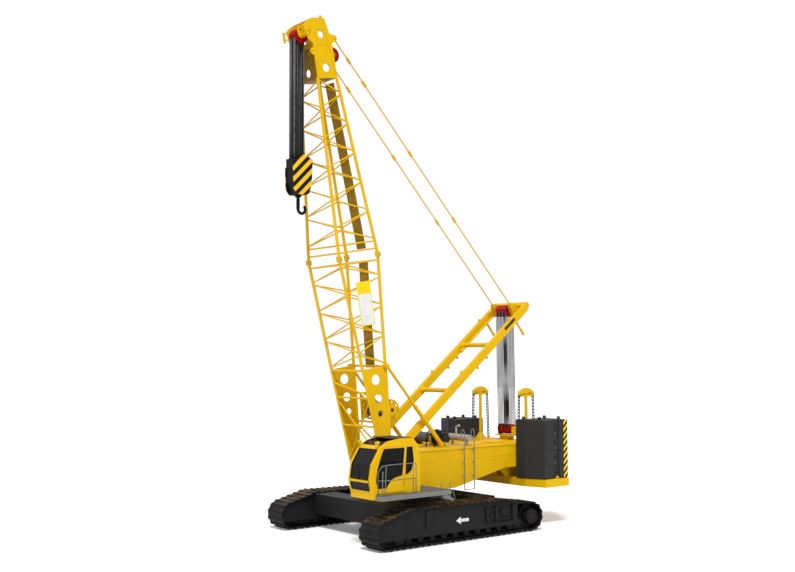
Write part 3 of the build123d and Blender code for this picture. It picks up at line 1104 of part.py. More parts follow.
hook_parts = [rod((0, block_y, BLOCK_BOTTOM_Z - FIT_GAP), (0, block_y, HORN_Z), 62),
              rod((0, block_y, BLOCK_BOTTOM_Z - FIT_GAP), (0, block_y, BLOCK_BOTTOM_Z - 70), 110)]
for side in (-1, 1):
    centre_y = block_y + side * HORN_BEND
    section = Pos(0, block_y, HORN_Z) * Circle(HORN_R)
    horn = revolve(section, axis=Axis((0, centre_y, HORN_Z), (side, 0, 0)), revolution_arc=215)
    tip_angle = rad(215)
    tip_y = centre_y - side * HORN_BEND * math.cos(tip_angle)
    tip_z = HORN_Z - HORN_BEND * math.sin(tip_angle)
    hook_parts.extend([horn, Pos(0, tip_y, tip_z) * Sphere(HORN_R)])
add("hook", fuse(hook_parts))

# Move so that the origin is the bottom centre of the whole, then write
front_y = min(solid.bounding_box().min.Y for solid in nodes["head_guard"])
rear_y = max(solid.bounding_box().max.Y for solid in nodes["mast"] + nodes["mast_sheaves"])
shift = Pos(0, -(front_y + rear_y) / 2, 0)
os.makedirs("parts", exist_ok=True)
for name, solids in nodes.items():
    moved = [shift * solid for solid in solids]
    export_step(Compound(children=moved), f"parts/{name}.step", write_pcurves=False)
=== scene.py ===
# %% [markdown]
# This lesson dresses a crawler crane with a lattice boom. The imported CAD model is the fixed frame:
# its pieces keep their place and get painted finishes, and fine pieces such as the track shoes,
# the wire ropes, the chains and the window seals are built around them.

# %% Load the frame
import json
import math

import bmesh
import bpy
from mathutils import Matrix, Vector


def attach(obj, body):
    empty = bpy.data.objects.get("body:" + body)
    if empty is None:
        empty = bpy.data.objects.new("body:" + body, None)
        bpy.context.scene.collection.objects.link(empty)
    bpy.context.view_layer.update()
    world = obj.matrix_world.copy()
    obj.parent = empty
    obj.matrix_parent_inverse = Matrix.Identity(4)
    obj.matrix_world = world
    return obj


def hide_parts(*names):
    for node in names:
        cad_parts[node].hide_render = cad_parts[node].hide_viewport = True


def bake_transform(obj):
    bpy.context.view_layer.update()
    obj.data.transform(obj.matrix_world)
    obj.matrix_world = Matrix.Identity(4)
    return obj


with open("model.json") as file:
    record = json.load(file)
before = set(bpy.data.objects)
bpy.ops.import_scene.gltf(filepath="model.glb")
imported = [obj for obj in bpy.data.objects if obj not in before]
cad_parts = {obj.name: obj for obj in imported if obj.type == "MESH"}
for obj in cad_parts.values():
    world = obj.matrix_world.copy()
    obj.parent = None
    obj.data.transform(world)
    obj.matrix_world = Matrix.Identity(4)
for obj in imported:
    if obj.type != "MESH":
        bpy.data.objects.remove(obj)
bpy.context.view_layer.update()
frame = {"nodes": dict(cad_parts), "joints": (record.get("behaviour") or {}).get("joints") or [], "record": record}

nodes = frame["nodes"]
joints = {joint["name"]: joint for joint in frame["joints"]}

# %% [markdown]
# The camera comes first. A photograph taken from far away with a long lens flattens a machine, and
# one taken close by spreads it. The spread of the two tracks and of the boom gives a camera about
# 40 m away, 6.5 m above the ground and looking up a little, with a lens of 48 mm.

# %% Camera
IMAGE_WIDTH = 795
SENSOR_MM = 36.0
FOCAL_PIXELS = 1066.7
CAMERA_PLACE = (31.559, -25.087, 6.550)
CAMERA_TURN = 51.82
CAMERA_TILT = 3.60
CAMERA_ROLL = -0.218

SLEW_Y = joints["slew"]["pos_m"][1]
camera_data = bpy.data.cameras.new("camera")
camera_data.sensor_width = SENSOR_MM
camera_data.lens = FOCAL_PIXELS / IMAGE_WIDTH * SENSOR_MM
camera_data.clip_end = 200.0
camera = bpy.data.objects.new("camera", camera_data)
bpy.context.scene.collection.objects.link(camera)
turn = Matrix.Rotation(math.radians(CAMERA_TURN), 4, "Z")
tilt = Matrix.Rotation(math.radians(90 + CAMERA_TILT), 4, "X")
roll = Matrix.Rotation(math.radians(CAMERA_ROLL), 4, "Z")
stand = Matrix.Translation(Vector(CAMERA_PLACE) + Vector((0, SLEW_Y, 0)))
camera.matrix_world = stand @ turn @ tilt @ roll
bpy.context.scene.camera = camera
print("camera: lens", round(camera_data.lens, 1), "mm")

# %% [markdown]
# Light, paint and repeated parts are all drawn as node trees here. Small helpers keep these trees
# short to read: one feeds a socket, one adds a node with all its inputs, and two do sums.

# %% Node helpers


def wire(tree, socket, value):
    """Feed a socket: a link where the value is a socket, a number otherwise."""
    if isinstance(value, bpy.types.NodeSocket):
        tree.links.new(value, socket)
    else:
        socket.default_value = value


def add_node(tree, kind, inputs=None, **choices):
    """Add a node with its choices and inputs, and return its outputs."""
    node = tree.nodes.new(kind)
    for label, choice in choices.items():
        setattr(node, label, choice)
    for key, value in (inputs or {}).items():
        wire(tree, node.inputs[key], value)
    return node.outputs


def sum_of(tree, first, second, operation="ADD"):
    """One sum with two numbers or sockets."""
    return add_node(tree, "ShaderNodeMath", {0: first, 1: second}, operation=operation)[0]


def times(tree, first, second):
    """One product of two numbers or sockets."""
    return sum_of(tree, first, second, "MULTIPLY")


def empty_tree(owner):
    """The cleared node tree of a world or a material."""
    owner.use_nodes = True
    owner.node_tree.nodes.clear()
    return owner.node_tree


# %% [markdown]
# A product photograph of a machine stands on white. The floor and the world show white to the
# camera, while the lamps stay at a plain level, so the paint renders about as it is written.
# A broad sun from above the camera gives the shading between the faces, and the world fills it in.

# %% World, lamps and floor
world = bpy.data.worlds.new("studio")
bpy.context.scene.world = world
tree = empty_tree(world)
fill_light = add_node(tree, "ShaderNodeBackground", {"Color": (0.96, 0.98, 1.0, 1), "Strength": 0.52})[0]
white_card = add_node(tree, "ShaderNodeBackground", {"Color": (1, 1, 1, 1), "Strength": 1.0})[0]
ray = add_node(tree, "ShaderNodeLightPath")
seen = sum_of(tree, ray["Is Camera Ray"], ray["Is Glossy Ray"], "MAXIMUM")
seen = sum_of(tree, seen, ray["Is Transmission Ray"], "MAXIMUM")
both = add_node(tree, "ShaderNodeMixShader", {"Fac": seen, 1: fill_light, 2: white_card})[0]
add_node(tree, "ShaderNodeOutputWorld", {"Surface": both})


def sun(name, strength, angle, direction):
    """A sun lamp whose light travels along direction."""
    data = bpy.data.lights.new(name, "SUN")
    data.energy = strength
    data.angle = math.radians(angle)
    lamp = bpy.data.objects.new(name, data)
    lamp.rotation_euler = Vector(direction).to_track_quat("-Z", "Y").to_euler()
    bpy.context.scene.collection.objects.link(lamp)


sun("key_lamp", 2.50, 14, (-0.40, 0.38, -0.83))
sun("side_lamp", 0.28, 30, (-0.9, 0.1, -0.35))
bpy.context.scene.view_settings.view_transform = "Standard"

floor_mesh = bpy.data.meshes.new("floor")
FLOOR_HALF = 150.0
FLOOR_Z = -0.004
corners = [(x * FLOOR_HALF, y * FLOOR_HALF, FLOOR_Z) for x, y in ((-1, -1), (1, -1), (1, 1), (-1, 1))]
floor_mesh.from_pydata(corners, [], [(0, 1, 2, 3)])
floor = bpy.data.objects.new("floor", floor_mesh)
bpy.context.scene.collection.objects.link(floor)
floor_paint = bpy.data.materials.new("studio_floor")
tree = empty_tree(floor_paint)
matt = add_node(tree, "ShaderNodeBsdfDiffuse", {"Color": (0.93, 0.93, 0.93, 1)})[0]
glow = add_node(tree, "ShaderNodeEmission", {"Strength": 0.16})[0]
lifted = add_node(tree, "ShaderNodeAddShader", {0: matt, 1: glow})[0]
camera_ray = add_node(tree, "ShaderNodeLightPath")["Is Camera Ray"]
both = add_node(tree, "ShaderNodeMixShader", {"Fac": camera_ray, 1: matt, 2: lifted})[0]
add_node(tree, "ShaderNodeOutputMaterial", {"Surface": both})
floor_mesh.materials.append(floor_paint)
print("lamps:", len(bpy.data.lights))

# %% [markdown]
# Paint on a crane is thick enamel: even in colour, a little uneven in gloss, with faint dust in
# broad patches and an orange peel too fine to see from afar. One helper builds that: a broad noise
# on Object coordinates moves the colour and the gloss, and a fine one makes the bump.

# %% Paint helper


def srgb(red, green, blue):
    """A colour picked as 0 to 255 screen values, as the linear numbers that shaders take."""
    out = []
    for value in (red, green, blue):
        share = value / 255
        out.append(share / 12.92 if share <= 0.04045 else ((share + 0.055) / 1.055) ** 2.4)
    return (*out, 1.0)


FINISHES = {}
SETTLE_LOW = 0.85
SETTLE_HIGH = 1.10


def paint(name, colour, dusty, gloss, metallic=0.0, patch=0.9, dust=0.35, bump=0.02, grain=60.0,
          shine=0.25, settles=False):
    """An enamel: colour with broad dusty patches, uneven gloss and a fine skin. Where dust settles, it lies on
    the faces that look up, from SETTLE_LOW upwards."""
    material = bpy.data.materials.new(name)
    material.use_nodes = True
    tree = material.node_tree
    place = add_node(tree, "ShaderNodeTexCoord")["Object"]
    broad = add_node(tree, "ShaderNodeTexNoise", {"Vector": place, "Scale": patch, "Detail": 6.0,
                                                  "Roughness": 0.62})["Fac"]
    fine = add_node(tree, "ShaderNodeTexNoise", {"Vector": place, "Scale": grain, "Detail": 4.0})["Fac"]
    ramp = tree.nodes.new("ShaderNodeValToRGB")
    ramp.color_ramp.elements[0].position = 0.42
    ramp.color_ramp.elements[1].position = 0.72
    tree.links.new(broad, ramp.inputs["Fac"])
    if settles:
        facing = add_node(tree, "ShaderNodeNewGeometry")
        upward = add_node(tree, "ShaderNodeSeparateXYZ", {0: facing["Normal"]})["Z"]
        level = add_node(tree, "ShaderNodeSeparateXYZ", {0: facing["Position"]})["Z"]
        top = add_node(tree, "ShaderNodeMapRange", {"Value": upward, "From Min": 0.3, "From Max": 0.9,
                                                    "To Max": dust})[0]
        dust = add_node(tree, "ShaderNodeMapRange", {"Value": level, "From Min": SETTLE_LOW,
                                                     "From Max": SETTLE_HIGH, "To Max": top})[0]
    amount = times(tree, ramp.outputs["Color"], dust)
    mixed = add_node(tree, "ShaderNodeMix", {0: amount, 6: colour, 7: dusty}, data_type="RGBA")[2]
    sheen = add_node(tree, "ShaderNodeMapRange", {"Value": broad, "To Min": gloss - 0.06, "To Max": gloss + 0.14})[0]
    skin = add_node(tree, "ShaderNodeBump", {"Height": fine, "Strength": 0.35, "Distance": bump * 0.1})["Normal"]
    looks = {"Base Color": mixed, "Roughness": sheen, "Normal": skin, "Metallic": metallic,
             "Specular IOR Level": shine}
    for label, value in looks.items():
        wire(tree, tree.nodes["Principled BSDF"].inputs[label], value)
    FINISHES[name] = material
    return material


print("dust settles above", SETTLE_LOW, "m")

# %% [markdown]
# The machine's colours follow from the helper: one yellow for all the steelwork, near black below it,
# red for the sheaves and bare steel for pins and ropes. Each paint has a clean and a dusty colour.

# %% Paints
crane_yellow = paint("crane_yellow", srgb(224, 178, 2), srgb(200, 152, 3), 0.42, dust=0.30, shine=0.12)
ochre_walkway = paint("ochre_walkway", srgb(158, 122, 12), srgb(122, 92, 14), 0.65, patch=3.0, dust=0.6)
undercarriage_black = paint("undercarriage_black", srgb(26, 26, 27), srgb(40, 38, 36), 0.50, dust=0.4, shine=0.12)
track_steel = paint("track_steel", srgb(28, 27, 26), srgb(140, 106, 62), 0.50, metallic=0.2, patch=2.4, dust=1.0,
                    bump=0.06, grain=90.0, shine=0.15, settles=True)
counterweight_grey = paint("counterweight_grey", srgb(48, 48, 49), srgb(60, 59, 57), 0.60, dust=0.4, bump=0.05,
                           shine=0.12)
sheave_red = paint("sheave_red", srgb(150, 6, 5), srgb(104, 5, 5), 0.42, dust=0.4, shine=0.12)
paint("winch_grey", srgb(52, 52, 54), srgb(80, 76, 70), 0.45, metallic=0.3, patch=4.0, dust=0.5)
walkway_grey = paint("walkway_grey", srgb(118, 118, 114), srgb(92, 92, 92), 0.45, patch=3.0, dust=0.4)
paint("muffler_grey", srgb(168, 162, 152), srgb(128, 118, 104), 0.5, metallic=0.1, patch=5.0, dust=0.5)
paint("seat_black", srgb(30, 31, 34), srgb(44, 45, 48), 0.75, patch=6.0, dust=0.4, bump=0.1, grain=400.0)
pin_steel = paint("pin_steel", srgb(150, 152, 156), srgb(96, 92, 88), 0.30, metallic=0.9, patch=8.0, dust=0.5)
paint("rope_steel", srgb(120, 122, 126), srgb(70, 70, 72), 0.35, metallic=0.8, patch=30.0, dust=0.6)
print("paints:", len(FINISHES))

# %% [markdown]
# The cab's panes are dark tinted glass. From outside they read as black with a clear reflection,
# so a little light passes and the coat does the rest.

# %% Tinted glass
cab_glass = paint("cab_glass", srgb(8, 8, 8), srgb(14, 14, 14), 0.07, patch=1.5, dust=0.3, bump=0.0, shine=0.10)
glass_inputs = cab_glass.node_tree.nodes["Principled BSDF"].inputs
glass_inputs["Transmission Weight"].default_value = 0.12
glass_inputs["IOR"].default_value = 1.5
print("glass passes", glass_inputs["Transmission Weight"].default_value)

# %% [markdown]
# Each CAD piece names the finish that it takes, and each paint above is kept under that name. A change
# of colour is made in one place, and every piece of that finish follows.

# %% Paint the CAD pieces
for entry in frame["record"]["subparts"]:
    node = nodes[entry["node"]]
    node.data.materials.clear()
    node.data.materials.append(FINISHES[entry["material_slot"]])

# %% [markdown]
# Much on a crane repeats: shoes round a track, links down a chain, bolts round a flange. Geometry
# Nodes suit that, because one small tree places a piece as often as needed along any path. The
# helpers below make such trees: named sizes come in as inputs, boxes and bent bars are built
# inside, and the result ends as one plain mesh that rides on a body of the crane.

# %% Geometry Nodes helpers


def open_tree(name, sizes):
    """A node tree with a geometry input and one named number input for each size."""
    tree = bpy.data.node_groups.new(name, "GeometryNodeTree")
    tree.interface.new_socket("Geometry", in_out="INPUT", socket_type="NodeSocketGeometry")
    for label, value in sizes.items():
        kind = "NodeSocketInt" if isinstance(value, int) else "NodeSocketFloat"
        tree.interface.new_socket(label, in_out="INPUT", socket_type=kind).default_value = value
    tree.interface.new_socket("Geometry", in_out="OUTPUT", socket_type="NodeSocketGeometry")
    tree["entry"] = tree.nodes.new("NodeGroupInput").name
    return tree


def named(tree, label):
    return tree.nodes[tree["entry"]].outputs[label]


def vector_of(tree, values):
    """A vector from three numbers or sockets."""
    return add_node(tree, "ShaderNodeCombineXYZ", dict(enumerate(values)))[0]


def box_part(tree, size, place):
    """A cuboid inside a tree; each number may be a socket."""
    cube = add_node(tree, "GeometryNodeMeshCube", {"Size": vector_of(tree, size)})["Mesh"]
    return add_node(tree, "GeometryNodeTransform", {"Geometry": cube, "Translation": vector_of(tree, place)})[0]


def swept(tree, curve, radius, sides):
    """A round bar along a curve."""
    section = add_node(tree, "GeometryNodeCurvePrimitiveCircle", {"Resolution": sides, "Radius": radius})[0]
    bar = add_node(tree, "GeometryNodeCurveToMesh", {"Curve": curve, "Profile Curve": section})[0]
    return add_node(tree, "GeometryNodeSetShadeSmooth", {"Geometry": bar})[0]


def joined(tree, parts):
    node = tree.nodes.new("GeometryNodeJoinGeometry")
    for part in parts:
        tree.links.new(part, node.inputs[0])
    return node.outputs[0]


def repeat_on_path(tree, part, count, pivot="X"):
    """Set a part at even steps along the incoming edge loop, turned to follow it about one axis."""
    curve = add_node(tree, "GeometryNodeMeshToCurve", {"Mesh": named(tree, "Geometry")})[0]
    even = add_node(tree, "GeometryNodeResampleCurve", {"Curve": curve, "Count": count})[0]
    tangent = add_node(tree, "GeometryNodeInputTangent")[0]
    turned = add_node(tree, "FunctionNodeAlignRotationToVector", {"Vector": tangent}, axis="Y", pivot_axis=pivot)[0]
    return add_node(tree, "GeometryNodeInstanceOnPoints", {"Points": even, "Instance": part, "Rotation": turned})[0]


def close_tree(tree, part, material):
    """End a tree in real faces with one material."""
    real = add_node(tree, "GeometryNodeRealizeInstances", {0: part})[0]
    coat = add_node(tree, "GeometryNodeSetMaterial", {0: real, "Material": material})[0]
    add_node(tree, "NodeGroupOutput", {0: coat})
    return tree


# %% [markdown]
# A piece is a plain mesh that says which body it rides on and which finish it has. It comes either
# from a shape that is built point by point, or from a tree that is run over a line of points.

# %% Piece helpers


def add_piece(name, mesh, body=None):
    """Put a mesh in the scene as a piece, on a body where one is given."""
    piece = bpy.data.objects.new(name, mesh)
    bpy.context.scene.collection.objects.link(piece)
    if body:
        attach(piece, body)
    print(name, "has", len(mesh.polygons), "faces")
    return piece


def mesh_of(name, shape, *materials):
    """Turn an edited shape into a mesh with its materials."""
    mesh = bpy.data.meshes.new(name)
    shape.to_mesh(mesh)
    shape.free()
    for material in materials:
        mesh.materials.append(material)
    return mesh


def grow(name, tree, points, closed, body, slot, **sizes):
    """Run a tree over points (a path, a closed loop or, with None, loose) and keep a plain mesh on a body."""
    edges = [] if closed is None else [(i, i + 1) for i in range(len(points) - 1)]
    if closed:
        edges.append((len(points) - 1, 0))
    path_mesh = bpy.data.meshes.new(name + "_path")
    path_mesh.from_pydata(points, edges, [])
    path = bpy.data.objects.new(name + "_path", path_mesh)
    bpy.context.scene.collection.objects.link(path)
    modifier = path.modifiers.new("grow", "NODES")
    modifier.node_group = tree
    for item in tree.interface.items_tree:
        if item.in_out == "INPUT" and item.name in sizes:
            modifier[item.identifier] = sizes[item.name]
    depsgraph = bpy.context.evaluated_depsgraph_get()
    mesh = bpy.data.meshes.new_from_object(path.evaluated_get(depsgraph))
    mesh.name = name
    bpy.data.objects.remove(path)
    return add_piece(name, mesh, body)


# %% [markdown]
# A crawler track is a loop of steel shoes on a chain. Each shoe is a flat plate with a low grouser
# bar along both edges and bolts down to two rows of links; a horn in the middle keeps the loop on
# the wheels. The loop itself is the hull of the idler, the sprocket and the two bends of the top
# run, so its path is worked out from these four circles, with the shoes set on it at even steps.

# %% Track path
TRACK_X = 2.910
SHOE_COUNT = 62
SHOE_INSET = 0.020
RIM_STEPS = 96
LOOP_CIRCLES = [(-3.340, 0.540, 0.540), (3.340, 0.540, 0.540), (-2.250, 0.760, 0.600), (1.750, 0.710, 0.600)]


def hull_of(points):
    """Convex hull of flat points, anticlockwise."""
    points = sorted(set(points))
    chains = []
    for order in (points, points[::-1]):
        chain = []
        for p in order:
            while len(chain) > 1 and ((chain[-1][0] - chain[-2][0]) * (p[1] - chain[-2][1])
                                      - (chain[-1][1] - chain[-2][1]) * (p[0] - chain[-2][0])) <= 0:
                chain.pop()
            chain.append(p)
        chains.append(chain[:-1])
    return chains[0] + chains[1]


def loop_points(inset, x):
    """The track loop moved inwards by inset, as points in the plane at x."""
    rim = []
    for y, z, radius in LOOP_CIRCLES:
        for step in range(RIM_STEPS):
            angle = 2 * math.pi * step / RIM_STEPS
            rim.append((round(y + (radius - inset) * math.cos(angle), 5),
                        round(z + (radius - inset) * math.sin(angle), 5)))
    return [(x, y + SLEW_Y, z) for y, z in hull_of(rim)]


outer_loop = loop_points(SHOE_INSET, TRACK_X)
loop_length = sum((Vector(a) - Vector(b)).length for a, b in zip(outer_loop, outer_loop[1:] + outer_loop[:1]))
print("track loop:", round(loop_length, 3), "m, shoe pitch", round(loop_length / SHOE_COUNT * 1000), "mm")

# %% [markdown]
# One shoe is modelled once: its plate, the grouser bars along both edges, two links with their bolt
# heads and the guide horn. A tree sets it round the loop, so a change to one shoe changes them all.

# %% Track shoes and links
tree = open_tree("track_shoe", {"Shoes": SHOE_COUNT, "Width": 1.0, "Pitch": 0.252, "Plate": 0.030,
                                "Grouser": 0.028, "Link half gap": 0.105})
width, pitch, plate, grouser, link_gap = (
    named(tree, label) for label in ("Width", "Pitch", "Plate", "Grouser", "Link half gap"))
plate_length = times(tree, pitch, 0.95)
plate_z = sum_of(tree, grouser, times(tree, plate, 0.5))
shoe_parts = [box_part(tree, (width, plate_length, plate), (0, 0, plate_z))]
for side in (-1, 1):
    y = times(tree, times(tree, plate_length, 0.40), float(side))
    shoe_parts.append(box_part(tree, (width, 0.040, grouser), (0, y, times(tree, grouser, 0.5))))
    x = times(tree, link_gap, float(side))
    shoe_parts.append(box_part(tree, (0.060, times(tree, pitch, 0.98), 0.078), (x, 0, 0.099)))
    bolt_x = sum_of(tree, x, 0.03 * side)
    for end in (-1, 1):
        shoe_parts.append(box_part(tree, (0.036, 0.036, 0.014), (bolt_x, end * 0.045, 0.022)))
shoe_parts.append(box_part(tree, (0.070, 0.110, 0.060), (0, 0, 0.088)))
track_tree = close_tree(tree, repeat_on_path(tree, joined(tree, shoe_parts), named(tree, "Shoes")), track_steel)

for side, node_name in ((-1, "track_right"), (1, "track_left")):
    chain = grow("track_chain_" + node_name[6:], track_tree, loop_points(SHOE_INSET, side * TRACK_X), True,
                 "undercarriage", "track_steel", Pitch=loop_length / SHOE_COUNT)
    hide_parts(node_name)

# %% [markdown]
# The crane's parts have their own directions: the boom leans 9.6 degrees forwards and the mast lies
# back at 39 degrees. Two helpers turn measures along and across a part into places on the crane, so
# that the fine pieces below are written in the same measures as the real part.

# %% Places on boom and mast
BOOM_LEAN = math.radians(9.58)
BOOM_FOOT = (-1.450, 2.100)
MAST_ANGLE = math.radians(39.1)
MAST_FOOT = (-1.150, 2.890)
MAST_LENGTH = 8.890
JOINT_H = 8.000
HEAD_H = 14.450
FOOT_DEPTH, JOINT_DEPTH, HEAD_DEPTH = 0.166, 0.860, 0.410
JOINT_WIDTH, HEAD_WIDTH = 0.970, 0.550


def boom_at(x, n, h):
    """A place on the boom: x across, n backwards and h up the boom from the foot pin."""
    y = BOOM_FOOT[0] + n * math.cos(BOOM_LEAN) - h * math.sin(BOOM_LEAN) + SLEW_Y
    z = BOOM_FOOT[1] + n * math.sin(BOOM_LEAN) + h * math.cos(BOOM_LEAN)
    return Vector((x, y, z))


def mast_at(x, s, t):
    """A place on the mast: x across, s along the legs from the foot pin and t square to them."""
    y = MAST_FOOT[0] + s * math.cos(MAST_ANGLE) - t * math.sin(MAST_ANGLE) + SLEW_Y
    z = MAST_FOOT[1] + s * math.sin(MAST_ANGLE) + t * math.cos(MAST_ANGLE)
    return Vector((x, y, z))


def deck_at(x, y, z):
    """A place on the parts that stand on the deck, measured from the slewing axis."""
    return Vector((x, y + SLEW_Y, z))


def upper_share(h):
    """How far a height lies from the boom's joint to its head, 0 to 1."""
    return min(1.0, (h - JOINT_H) / (HEAD_H - JOINT_H))


def half_depth(h):
    """Half the boom's depth, front chord to rear chord, at a height."""
    if h < JOINT_H:
        return FOOT_DEPTH + (JOINT_DEPTH - FOOT_DEPTH) * h / JOINT_H
    return JOINT_DEPTH + (HEAD_DEPTH - JOINT_DEPTH) * upper_share(h)


def half_width(h):
    """Half the boom's width at a height."""
    if h < JOINT_H:
        return JOINT_WIDTH
    return JOINT_WIDTH + (HEAD_WIDTH - JOINT_WIDTH) * upper_share(h)


print("boom tip at", [round(v, 2) for v in boom_at(0, 0, 16.6)])

# %% [markdown]
# A hook block and the rear edges of the counterweights carry warning stripes, so that people see
# them move. They are painted on the steel, so the stripes belong in the paint and not in the shape:
# a slanted saw wave on Object coordinates, kept to the outer faces by two limits. The same kind of
# limit turns a sheave's red to yellow at its axle, and paints shade, a dark ochre, on the webs and
# inner faces of the boom's head, where they lie in shadow.

# %% Paints with more than one colour


def place_copy(base, name):
    """A copy of a paint, its node tree, and how far a point lies from the middle, back and up."""
    material = base.copy()
    material.name = name
    tree = material.node_tree
    place = add_node(tree, "ShaderNodeTexCoord")["Object"]
    split = add_node(tree, "ShaderNodeSeparateXYZ", {0: place})
    return material, tree, sum_of(tree, split["X"], 0.0, "ABSOLUTE"), split["Y"], split["Z"]


def colour_over(tree, mask, colour):
    """Lay another colour over a paint where a mask is 1."""
    coat = tree.nodes["Principled BSDF"].inputs["Base Color"]
    under = coat.links[0].from_socket
    tree.links.new(add_node(tree, "ShaderNodeMix", {0: mask, 6: under, 7: colour}, data_type="RGBA")[2], coat)


def striped(base, name, stripe, period, x_edge, y_edge):
    """A copy of a paint with slanted stripes where |X| and Y lie past their edges."""
    material, tree, side, back, up = place_copy(base, name)
    slant = sum_of(tree, sum_of(tree, up, back, "SUBTRACT"), side)
    wave = sum_of(tree, sum_of(tree, slant, period, "DIVIDE"), 0.0, "FRACT")
    band = sum_of(tree, wave, 0.5, "GREATER_THAN")
    inside = times(tree, sum_of(tree, side, x_edge, "GREATER_THAN"), sum_of(tree, back, y_edge, "GREATER_THAN"))
    colour_over(tree, inside, srgb(20, 20, 20))
    colour_over(tree, times(tree, band, inside), stripe)
    return material


def two_tone(base, name, other, x_edge):
    """A copy of a paint that turns to another colour past |X|, as where red sheaves sit on a yellow axle."""
    material, tree, side, _, _ = place_copy(base, name)
    colour_over(tree, sum_of(tree, side, x_edge, "GREATER_THAN"), other)
    return material


def shaded_head(base, name, dark):
    """Painted shade: the boom head's webs and insides take a darker colour than its side plates, for the shadow they
    lie in.
    """
    material, tree, side, back, up = place_copy(base, name)
    height = sum_of(tree, times(tree, up, math.cos(BOOM_LEAN)), times(tree, back, -math.sin(BOOM_LEAN)))
    foot = BOOM_FOOT[1] * math.cos(BOOM_LEAN) - (BOOM_FOOT[0] + SLEW_Y) * math.sin(BOOM_LEAN)
    inside = sum_of(tree, side, HEAD_INSIDE_X, "LESS_THAN")
    above = sum_of(tree, height, HEAD_WEB[0] + foot, "GREATER_THAN")
    below = sum_of(tree, height, HEAD_WEB[1] + foot, "LESS_THAN")
    colour_over(tree, times(tree, times(tree, inside, above), below), dark)
    return material


HEAD_INSIDE_X = 0.5155
HEAD_WEB = (14.43, 15.90)
AXLE_EDGES = {"head_sheaves": 0.201, "guide_sheave": 0.061, "mast_sheaves": 0.301, "luffing_sheaves": 0.351}
ANY_Y = -50.0
STACK_EDGE_Y = 5.45 + SLEW_Y
# The head's webs and inner faces are the same yellow steel; the dark ochre here is painted shade.
nodes["boom_top"].data.materials[0] = shaded_head(crane_yellow, "boom_head_painted_shade", srgb(132, 98, 6))
for node_name, edge in AXLE_EDGES.items():
    nodes[node_name].data.materials[0] = two_tone(sheave_red, node_name + "_on_axle", srgb(224, 172, 8), edge)
block_black = paint("block_black", srgb(15, 15, 15), srgb(32, 30, 27), 0.45, patch=3.0, dust=0.5, shine=0.10)
hook_stripes = striped(block_black, "hook_block_stripes", srgb(238, 190, 40), 0.40, 0.245, ANY_Y)
edge_stripes = striped(counterweight_grey, "counterweight_stripes", srgb(244, 196, 30), 0.25, 2.79, STACK_EDGE_Y)
for node_name, finish in (("hook_block", hook_stripes), ("hook", block_black), ("counterweights", edge_stripes)):
    nodes[node_name].data.materials[0] = finish
print("stripes on", hook_stripes.name, "and", edge_stripes.name)

# %% [markdown]
# Steel wire rope is laid from strands that wind round each other, which gives its slanted ribs. From
# afar a bundle of falls is a grey curtain with dark gaps. Each fall is a slim tube with corners only
# at its ends, and the ribs are in its finish: a band wave across a UV map that runs round and along
# the tube.

# %% Wire rope finish
rope_finish = paint("wire_rope", srgb(128, 129, 132), srgb(70, 70, 72), 0.40, metallic=0.4, patch=6.0, dust=0.8)
greased_rope = paint("greased_rope", srgb(20, 20, 21), srgb(38, 37, 36), 0.45, patch=6.0, dust=0.6, shine=0.15)


def add_lay(material, turns, bands):
    """Slanted ribs for a rope, drawn on its UV map with painted shade in the grooves: turns in a metre, bands round it.
    """
    tree = material.node_tree
    split = add_node(tree, "ShaderNodeSeparateXYZ", {0: add_node(tree, "ShaderNodeUVMap")[0]})
    twist = sum_of(tree, times(tree, split["X"], float(bands)), times(tree, split["Y"], float(turns)))
    wave = sum_of(tree, times(tree, twist, 2 * math.pi), 0.0, "SINE")
    height = sum_of(tree, times(tree, wave, 0.5), 0.5)
    bump = add_node(tree, "ShaderNodeBump", {"Height": height, "Strength": 0.9, "Distance": 0.004})[0]
    wire(tree, tree.nodes["Principled BSDF"].inputs["Normal"], bump)
    # Painted shade: the grooves between the strands are darkened where the rib is low.
    shade = times(tree, sum_of(tree, 1.0, height, "SUBTRACT"), 0.7)
    colour_over(tree, shade, srgb(28, 28, 30))


LAY_TURNS = 9.0
STRANDS = 6
for finish in (rope_finish, greased_rope):
    add_lay(finish, LAY_TURNS, STRANDS)
print("rope lay:", LAY_TURNS, "turns in a metre")

# %% [markdown]
# Ropes, rails, hoses and pins are all round bars along a line, so one helper sweeps a ring of corners
# along the line's points and lays the UV map round and along it.

# %% Tubes and rods


def tubes(name, runs, radius, sides, material, second=None, greased=()):
    """Round tubes along runs of points, with a UV map round (U) and along in metres (V). The runs numbered in
    greased take the second material."""
    shape = bmesh.new()
    uv = shape.loops.layers.uv.new("UVMap")
    angles = [2 * math.pi * k / sides for k in range(sides)]
    section = [Vector((radius * math.cos(angle), radius * math.sin(angle), 0)) for angle in angles]
    for number, run in enumerate(runs):
        run = [Vector(p) for p in run]
        rings = []
        lengths = [0.0]
        for i, point in enumerate(run):
            ahead = run[min(i + 1, len(run) - 1)] - run[max(i - 1, 0)]
            turned = ahead.to_track_quat("Z", "X").to_matrix()
            if i:
                lengths.append(lengths[-1] + (point - run[i - 1]).length)
            rings.append([shape.verts.new(point + turned @ spot) for spot in section])
        for i in range(len(run) - 1):
            for k in range(sides):
                j = (k + 1) % sides
                face = shape.faces.new((rings[i][k], rings[i][j], rings[i + 1][j], rings[i + 1][k]))
                face.smooth = True
                face.material_index = 1 if number in greased else 0
                spots = ((k, i), (k + 1, i), (k + 1, i + 1), (k, i + 1))
                for loop, (u, v) in zip(face.loops, spots):
                    loop[uv].uv = (u / sides, lengths[v])
        shape.faces.new(rings[0][::-1])
        shape.faces.new(rings[-1])
    return add_piece(name, mesh_of(name, shape, material, *([second] if second else [])))


def rods(name, runs, radius, material, body, sides=10, place=deck_at):
    """Tubes that ride on one body, along runs given in the measures of the deck or of another part."""
    piece = tubes(name, [[place(*spot) for spot in run] for run in runs], radius, sides, material)
    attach(piece, body)
    return piece
